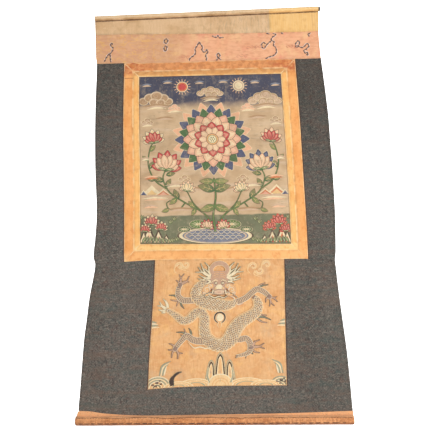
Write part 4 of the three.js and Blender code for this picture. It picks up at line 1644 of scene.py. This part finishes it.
def sky(relief):
    for x, tints in ((-92, (LINEN, EMBER, CORAL)), (92, (LINEN, MIST, LINEN))):
        for radius, tint in zip((19, 16.5, 12), tints):
            relief.disc((x, 40), radius, tint)
        for turn in around(16):
            ray = np.linspace(out_from((x, 40), turn, 21), out_from((x, 40), turn, 29), 4)
            relief.ribbon(ray, np.array((1.3, 1.1, 0.8, 0.3)), PEACH)
            relief.level -= 1
    cloud_bank(relief, -176, 84, PUFFS, OCHRE, MIST)
    cloud_bank(relief, 178, 88, PUFFS, MIST, OCHRE)
    cloud_bank(relief, 0, 62, [(dx * 0.8, dy * 0.7, r * 0.72) for dx, dy, r in PUFFS], MIST, OCHRE)
    for x, y, length in ((-176, 104, 92), (178, 108, 90), (0, 80, 70)):
        trail(relief, x, y, length, (OCHRE, MIST, LINEN))
    for x, y in ((-208, 30), (-140, 20), (-36, 24), (42, 22), (146, 26), (212, 36)):
        trail(relief, x, y, 34, (SLATE, MIST), 1.5)


def mist(relief):
    """Small curled clouds and thin streaks over the tan field."""
    for side in (-1, 1):
        cloud_bank(relief, side * 206, 158, SMALL_PUFFS, MIST, OCHRE)
        cloud_bank(relief, side * 118, 112, SMALL_PUFFS, PEACH, BLUSH)
        cloud_bank(relief, side * 92, 352, SMALL_PUFFS, MIST, OCHRE)
        for x, y, length, tints in (
            (206, 168, 44, (MIST, LINEN)),
            (118, 121, 52, (PEACH, LINEN)),
            (150, 146, 60, (OCHRE, MIST)),
            (120, 372, 70, (MIST, LINEN)),
            (196, 346, 48, (PEACH, EMBER)),
            (60, 384, 50, (OCHRE, MIST)),
            (214, 284, 30, (MIST, LINEN)),
            (108, 450, 90, (OCHRE, MIST)),
            (200, 440, 52, (MIST, PEACH)),
        ):
            trail(relief, side * x, y, length, tints, 2.0)


def far_land(relief):
    for side, first in ((-1, LINEN), (1, EMBER)):
        relief.restart()
        far_hill(relief, side * 196, 402, 36, 30, (LINEN, first, WHEAT))
        far_hill(relief, side * 160, 404, 26, 20, (LINEN, EMBER, BLUSH))
        far_hill(relief, side * 222, 404, 14, 17, (LINEN, SLATE, NIGHT))
        trail(relief, side * 186, 410, 100, (MIST, LINEN, PEACH), 2.0)
        trail(relief, side * 190, 218, 66, (PEACH, MIST), 2.0)
        trail(relief, side * 120, 118, 46, (MIST, PEACH), 2.0)


def great_lotus(relief):
    """The middle flower, on a ring of broad leaves."""
    relief.restart()
    centre = (0, 222)
    hidden = 38  # how far from the middle the leaves start, below the petals
    for start, length, half, fill, vein in (
        (15, 128, 23, PEACH, EMBER),
        (0, 119, 22, NIGHT, SLATE),
        (15, 108, 20, FERN, REED),
    ):
        ring_of(relief, leaf, centre, 12, start, hidden, length - hidden, half, LINEN, fill, vein)
    for count, start, length, half, tints in (
        (12, 0, 92, 19, (UMBER, BLUSH, PEACH)),
        (12, 15, 78, 17, FAIR),
        (10, 0, 58, 15, ROSY),
        (10, 18, 42, 11, FAIR),
    ):
        ring_of(relief, petal, centre, count, start, length * 0.3, length * 0.7, half, *tints)
    for radius, tint in ((20, UMBER), (18.6, WHEAT), (14, REED), (12.6, LINEN)):
        relief.disc(centre, radius, tint)
    for count, radius in ((6, 7), (1, 0)):
        for turn in around(count):
            way = math.radians(turn)
            spot = centre[0] + radius * math.cos(way), centre[1] + radius * math.sin(way)
            relief.disc(spot, 2.0, FERN)
    for turn in around(24):
        way = math.radians(turn)
        relief.disc((16.3 * math.cos(way), centre[1] + 16.3 * math.sin(way)), 1.2, CORAL)
        relief.level -= 1
    relief.level += 1


def side_flowers(relief):
    for side in (-1, 1):
        relief.restart()
        stem = [(6, 500), (38, 462), (92, 430), (140, 396), (160, 352), (150, 318)]
        vine(relief, mirrored(stem, side))
        twig = [(150, 384), (186, 356), (206, 306), (200, 252), (186, 226)]
        vine(relief, mirrored(twig, side), 1.8)
        curl = [(92, 430), (112, 452), (142, 450), (150, 432), (138, 422)]
        vine(relief, mirrored(curl, side), 1.5)
        ground = relief.level
        leaves = (
            (60, 448, 130, 30),
            (60, 448, 20, 26),
            (112, 418, 150, 34),
            (118, 414, 40, 30),
            (150, 380, 200, 30),
            (158, 360, 110, 32),
            (150, 340, 250, 28),
            (186, 356, 100, 26),
            (203, 318, 205, 28),
            (206, 290, 120, 22),
            (200, 260, 215, 26),
            (142, 450, 60, 24),
        )
        for k, (x, y, turn, size) in enumerate(leaves):
            relief.level = ground + OVERLAP * (k % 2)
            fill = FERN if (x + y) % 4 else REED
            leaf(relief, (x * side, y), turn * side, size, size * 0.26, UMBER, fill, WHEAT, 4 * side)
        relief.level = ground + 2 * OVERLAP
        bloom(relief, (150 * side, 322), 58, 6 * side, ROSY if side < 0 else DUSK, FAIR)
        relief.level = ground + 2 * OVERLAP
        bloom(relief, (186 * side, 230), 42, -8 * side, SNOW if side < 0 else FAIR, ROSY)
        relief.level = ground + 2 * OVERLAP
        bud = (86 * side, 392)
        vine(relief, [(38 * side, 462), (66 * side, 432), bud], 1.5)
        bloom(relief, bud, 30, 10 * side, FAIR, SNOW)


def pond(relief):
    relief.restart()
    for k, tint in enumerate((UMBER, LINEN, SLATE, MIST, SLATE)):
        relief.disc((0, 536), 118 - 5 * k - (k > 1) * 6, tint, 0.22)
    for row, y in enumerate((524, 532, 540, 548)):
        for k in range(-5, 6):
            x = k * 18 + 9 * (row % 2)
            if abs(x) < 92 - 14 * abs(row - 1.5):
                turn = np.linspace(math.pi, math.tau, 7)
                for size, tint in ((8, LINEN), (5, NIGHT)):
                    arch = np.stack((x + size * np.cos(turn), y + size * 0.6 * np.sin(turn)), axis=1)
                    relief.ribbon(arch, 0.7, tint)
                relief.level -= 2
    relief.level += 2
    ground = relief.level
    for side in (-1, 1):
        for place, radius, squash, fill in (((52, 500), 27, 0.5, REED), ((96, 516), 19, 0.45, FERN)):
            relief.level = ground
            pad(relief, (place[0] * side, place[1]), radius, squash, fill)
        bloom(relief, (26 * side, 512), 26, 12 * side, ROSY, FAIR)
    vine(relief, [(0, 524), (-5, 470), (4, 410), (0, 350)], 2.8)
    ground = relief.level
    for side in (-1, 1):
        relief.level = ground
        leaf(relief, (0, 440), 180 - 118 * side, 46, 12, UMBER, REED, WHEAT, 8 * side)
        leaf(relief, (0, 392), 180 - 64 * side, 52, 13, UMBER, FERN, WHEAT, -8 * side)
        leaf(relief, (0, 360), 180 - 98 * side, 44, 10, UMBER, REED, WHEAT, 6 * side)


def banks(relief):
    """Rocks and bushes in the two corners."""
    for side, tints in ((-1, (LINEN, PEACH, MIST, OCHRE)), (1, (LINEN, EMBER, CORAL, BLUSH))):
        relief.restart()
        for x, half, height in ((206, 26, 62), (176, 22, 44), (152, 18, 26), (222, 16, 40)):
            far_hill(relief, side * x, 556, half, height, (UMBER,) + tints[:3])
        ground = relief.level
        for k in range(9):
            relief.level = ground
            root = side * (226 - 11 * k), 557
            fill = FERN if k % 2 else REED
            leaf(relief, root, 180 - side * (8 * k - 30), 22 - k, 4, UMBER, fill, LINEN)
        for x, y, size in ((198, 500, 30), (168, 516, 24), (218, 522, 22)):
            bloom(relief, (side * x, y), size, 6 * side, tints[1:4] if side > 0 else SNOW, ROSY)
        for x, y in ((126, 488), (138, 498), (118, 552), (132, 556), (228, 482)):
            relief.restart()
            for turn in (150, 180, 210):
                leaf(relief, (side * x, y), turn, 13, 2.4, UMBER, REED, LINEN)


def painting_strokes():
    relief = Relief(inside(PAINTING_EDGES, PAINT_WIDE, PAINT_LONG, CANVAS), 0.2, 0.018)
    for draw in (sky, mist, far_land, banks, pond, great_lotus, side_flowers):
        draw(relief)
    return relief.make("painting_strokes", PAINT, 0.5)


# The ornament, then the cloth that it lies on

roller_threads()
CLOUD_THREADS = cloud_threads()
PAINTING_STROKES = painting_strokes()
DRAGON_THREADS = dragon_threads()

CLOUD_EDGES = (side_left, side_right, heading_foot, cloud_foot)
cloth("cloud_band", CLOUD_EDGES, CLOUD_SILK, SILK_BACK, "cloud_silk", trims=[CLOUD_THREADS])
for name, edges, hem, seams in (
    ("side_strip_left", (side_left, border_left, cloud_foot, border_foot), "left", "rf"),
    ("side_strip_right", (border_right, side_right, cloud_foot, border_foot), "right", "lf"),
    ("lower_panel_left", (side_left, panel_left, border_foot, brocade_foot), "left", "rt"),
    ("lower_panel_right", (panel_right, side_right, border_foot, brocade_foot), "right", "lt"),
    ("lower_panel_middle", (panel_left, panel_right, panel_foot, brocade_foot), None, ""),
):
    cloth(name, edges, DARK_BROCADE, BROCADE_BACK, "dark_brocade", hem=hem, seams=seams)
for name, edges in (
    ("border_outer_top", (TOP_LEFT[0], TOP_RIGHT[0], cloud_foot, band_top)),
    ("border_outer_left", (border_left, band_left, TOP_LEFT[1], FOOT_LEFT[1])),
    ("border_outer_right", (band_right, border_right, TOP_RIGHT[1], FOOT_RIGHT[1])),
    ("border_outer_foot", (FOOT_LEFT[0], FOOT_RIGHT[0], band_foot, border_foot)),
):
    cloth(name, edges, ORANGE_SILK, SILK_BACK, "orange_silk")
for name, edges in (
    ("border_inner_top", (TOP_LEFT[0], TOP_RIGHT[0], band_top, painting_top)),
    ("border_inner_left", (band_left, painting_left, TOP_LEFT[1], FOOT_LEFT[1])),
    ("border_inner_right", (painting_right, band_right, TOP_RIGHT[1], FOOT_RIGHT[1])),
    ("border_inner_foot", (FOOT_LEFT[0], FOOT_RIGHT[0], painting_foot, band_foot)),
):
    cloth(name, edges, YELLOW_SILK, SILK_BACK, "yellow_silk")
PAINTED = (PAINTED_GROUND, COTTON_BACK, "painted_cloth", CANVAS)
cloth("painting", PAINTING_EDGES, *PAINTED, trims=[PAINTING_STROKES])
cloth("dragon_panel", PANEL_EDGES, PANEL_SILK, SILK_BACK, "embroidered_silk", trims=[DRAGON_THREADS])


# The heading, the batten and the roller


def oval(half_depth, half_height, start, end, steps):
    """Points of an oval from one angle to another, anticlockwise from straight down."""
    turn = np.linspace(start, end, steps + 1)
    return np.stack((np.sin(turn) * half_depth, -np.cos(turn) * half_height), axis=1)


def cap_faces(section, outer_count):
    """Triangles that fill a closed section, less its hole."""
    rings = [list(range(outer_count))]
    if len(section) > outer_count:
        rings.append(list(range(outer_count, len(section))))
    joins = [(ring[i], ring[(i + 1) % len(ring)]) for ring in rings for i in range(len(ring))]
    found = delaunay_2d_cdt([Vector(p) for p in section], joins, [], 3, 1e-7)
    source = [origin[0] for origin in found[3]]
    return [[source[i] for i in face] for face in found[2]]


def carried(stations, place, outline, hole=()):
    """Points and faces of a section carried along X and closed at both ends. place gives a
    point's x, y and z."""
    section = np.concatenate((outline, hole)) if len(hole) else outline
    points = np.concatenate([np.stack(place(section.T, s), axis=1) for s in stations])
    ring = len(section)
    faces = []
    for first, count in ((0, len(outline)), (len(outline), len(hole))):
        for s in range(len(stations) - 1):
            for i in range(count):
                a = s * ring + first + i
                b = s * ring + first + (i + 1) % count
                faces.append((a, b, b + ring, a + ring))
    caps = cap_faces(section, len(outline))
    last = (len(stations) - 1) * ring
    return points, faces + caps + [[last + i for i in face] for face in caps]


def heading(name, left, right, material):
    """Half of the heading: the silk hangs from a sleeve that is folded over the batten."""
    trims = [sleeve_stitches(name + "_stitches", left, right)]
    half = SILK / 2
    neck = -SLEEVE_HALF_HEIGHT
    rows = spaced(HEADING_FALL, 5.0)[1:]
    tuck = TUCK / HEADING_FALL
    back = np.array([(half, neck - share) for share in rows[::-1] if share > tuck + 0.01])
    fold = np.array([(half, neck - tuck), (half + SILK, neck - tuck), (half + SILK, neck - 0.01)])
    ends = SLEEVE_OPENING, math.tau - SLEEVE_OPENING
    sleeve = oval(SLEEVE_HALF_DEPTH, SLEEVE_HALF_HEIGHT, *ends, 30)
    front = np.array([(-half, neck)] + [(-half, neck - share) for share in rows])
    inner = oval(SLEEVE_HALF_DEPTH - SILK, SLEEVE_HALF_HEIGHT - SILK, math.tau, 0, 30)[1:]
    outline = np.concatenate((back, fold, sleeve, front))

    def place(section, u):
        y, s = section
        inset = SEAM_GAP / 2
        x = np.full_like(y, mix(float(left(neck)), float(right(neck)), u))
        for _ in range(8):
            top = sleeve_middle(x)
            foot = heading_foot(x) + inset
            z = np.where(s >= neck, top + s, mix(top + neck, foot, neck - s))
            x = mix(left(z) + inset, right(z) - inset, u)
        pucker = 0.35 * soft_noise(x, z, 11, 40, 5) * ease((s - neck + 0.3) / 0.3)
        swell = 0.5 * soft_noise(x, z, 60, 30, 6) * (s > neck)
        return x, y * (1 + 0.06 * swell) + drape(x, z) + pucker * (np.abs(y) < 1), z

    wide = float(right(neck) - left(neck))
    stations = spaced(wide, 6.0)
    points, faces = carried(stations, place, outline, inner)
    x, _, z = points.T
    edge = np.minimum.reduce((x - left(z), right(z) - x, z - heading_foot(x)))
    facts = {"edge": np.maximum(edge, 0)}
    piece = keep(name + "_cloth", points, faces, (material,), (name,), facts)


def top_batten():
    deep = SLEEVE_HALF_DEPTH - SILK - BATTEN_PLAY
    high = SLEEVE_HALF_HEIGHT - SILK - BATTEN_PLAY
    outline = oval(deep, high, 0, math.tau, 28)[1:]
    ends = float(side_left(0.0)) + 3, float(side_right(0.0)) + 6
    between = np.linspace(ends[0] + 20, ends[1] - 20, 12)
    stations = [ends[0], ends[0] + 1, *between, ends[1] - 1, ends[1]]

    def place(section, x):
        trim = 0.92 if x in ends else 1.0
        y, z = section * trim
        return np.full_like(y, x), y, sleeve_middle(x) + z

    points, faces = carried(stations, place, outline)
    keep("top_batten_wood", points, faces, (DARK_WOOD,), ("top_batten",))


def roller_wrap():
    """The roller in its silk, with the tab that is sewn to the brocade."""
    opening = math.pi - math.asin(TAB_HALF / ROLLER_RADIUS)
    tab_top = ROLLER_RADIUS + 5
    round_part = oval(ROLLER_RADIUS, ROLLER_RADIUS, -opening, opening, 44)
    outline = np.concatenate((round_part, [(TAB_HALF, tab_top), (-TAB_HALF, tab_top)]))
    tab_left = float(side_left(ROLLER_AXIS)) + 1
    tab_right = float(side_right(ROLLER_AXIS)) - 1

    def place(section, x):
        y, s = section
        axis = ROLLER_AXIS + ROLLER_TILT * x
        from_end = min(x - ROLLER_LEFT, ROLLER_RIGHT - x)
        size = mix(0.86, 1.0, float(ease(from_end / 2.5)))
        lumps = 0.22 * soft_noise(x + 0 * y, s * 3, 17, 21, 8)
        held = np.clip(x, tab_left, tab_right)
        gone = ease(abs(x - held) / 4)
        sewn = float(brocade_foot(held)) - SEAM_GAP / 2
        tab = mix(sewn, axis + (ROLLER_RADIUS + 0.3) * size, gone)
        turn = (1 + lumps / ROLLER_RADIUS) * size
        z = np.where(s < tab_top, axis + s * turn, tab)
        return np.full_like(y, x), np.where(s < tab_top, y * turn, y * size), z

    shares = spaced(ROLLER_RIGHT - ROLLER_LEFT, 6.0, (1.0, 2.5, 5.6))
    stations = mix(ROLLER_LEFT, ROLLER_RIGHT, shares)
    points, faces = carried(stations, place, outline)
    x = points[:, 0]
    facts = {"edge": np.minimum(x - ROLLER_LEFT, ROLLER_RIGHT - x)}
    keep("roller_silk", points, faces, (COPPER_SILK,), ("roller_wrap",), facts)


heading("heading_beige", side_left, heading_join, BEIGE_SILK)
heading("heading_yellow", heading_join, side_right, YELLOW_HEADING_SILK)
top_batten()
roller_wrap()


# The studio


FLOOR_REACH = 8.0  # metres
FLOOR_LEVEL = -2.4
WORLD_LIGHT = 0.62
WHITE_BEHIND = 3.0  # how bright the world is where it is seen directly


def floor():
    mesh = bpy.data.meshes.new("floor")
    corners = [
        (x * FLOOR_REACH, y * FLOOR_REACH, FLOOR_LEVEL) for x, y in ((-1, -1), (1, -1), (1, 1), (-1, 1))
    ]
    mesh.from_pydata(corners, [], [(0, 1, 2, 3)])
    mesh.materials.append(Finish("floor", (0.94, 0.94, 0.94), 0.95).show())
    plane = bpy.data.objects.new("floor", mesh)
    bpy.context.scene.collection.objects.link(plane)


def lamp(name, place, aim, size, power):
    data = bpy.data.lights.new(name, "AREA")
    data.size = size
    data.energy = power
    light = bpy.data.objects.new(name, data)
    light.location = place
    light.rotation_euler = (Vector(aim) - Vector(place)).to_track_quat("-Z", "Y").to_euler()
    bpy.context.scene.collection.objects.link(light)


def studio():
    world = bpy.data.worlds.new("studio")
    world.use_nodes = True
    bpy.context.scene.world = world
    background = world.node_tree.nodes["Background"]
    background.inputs["Color"].default_value = (1, 1, 1, 1)
    background.inputs["Strength"].default_value = WORLD_LIGHT
    bright = world.node_tree.nodes.new("ShaderNodeBackground")
    bright.inputs["Strength"].default_value = WHITE_BEHIND
    path = world.node_tree.nodes.new("ShaderNodeLightPath")
    pick = world.node_tree.nodes.new("ShaderNodeMixShader")
    link = world.node_tree.links.new
    link(path.outputs["Is Camera Ray"], pick.inputs[0])
    link(background.outputs[0], pick.inputs[1])
    link(bright.outputs[0], pick.inputs[2])
    link(pick.outputs[0], world.node_tree.nodes["World Output"].inputs["Surface"])
    lamp("key", (3.2, -3.2, -1.2), (0, 0, -0.7), 1.4, 112)
    lamp("back", (-1.5, 2.6, 0.6), (0, 0, -0.7), 2.0, 45)
    bpy.context.scene.view_settings.view_transform = "Standard"


def camera():
    data = bpy.data.cameras.new("camera")
    data.sensor_width = 36
    data.lens = LENS
    eye = bpy.data.objects.new("camera", data)
    place = Vector(CAMERA_PLACE) * MM
    look = (Vector(CAMERA_AIM) * MM - place).to_track_quat("-Z", "Y").to_matrix()
    eye.location = place
    eye.rotation_euler = (look @ Matrix.Rotation(math.radians(CAMERA_ROLL), 3, "Z")).to_euler()
    bpy.context.scene.collection.objects.link(eye)
    bpy.context.scene.camera = eye


floor()
studio()
camera()
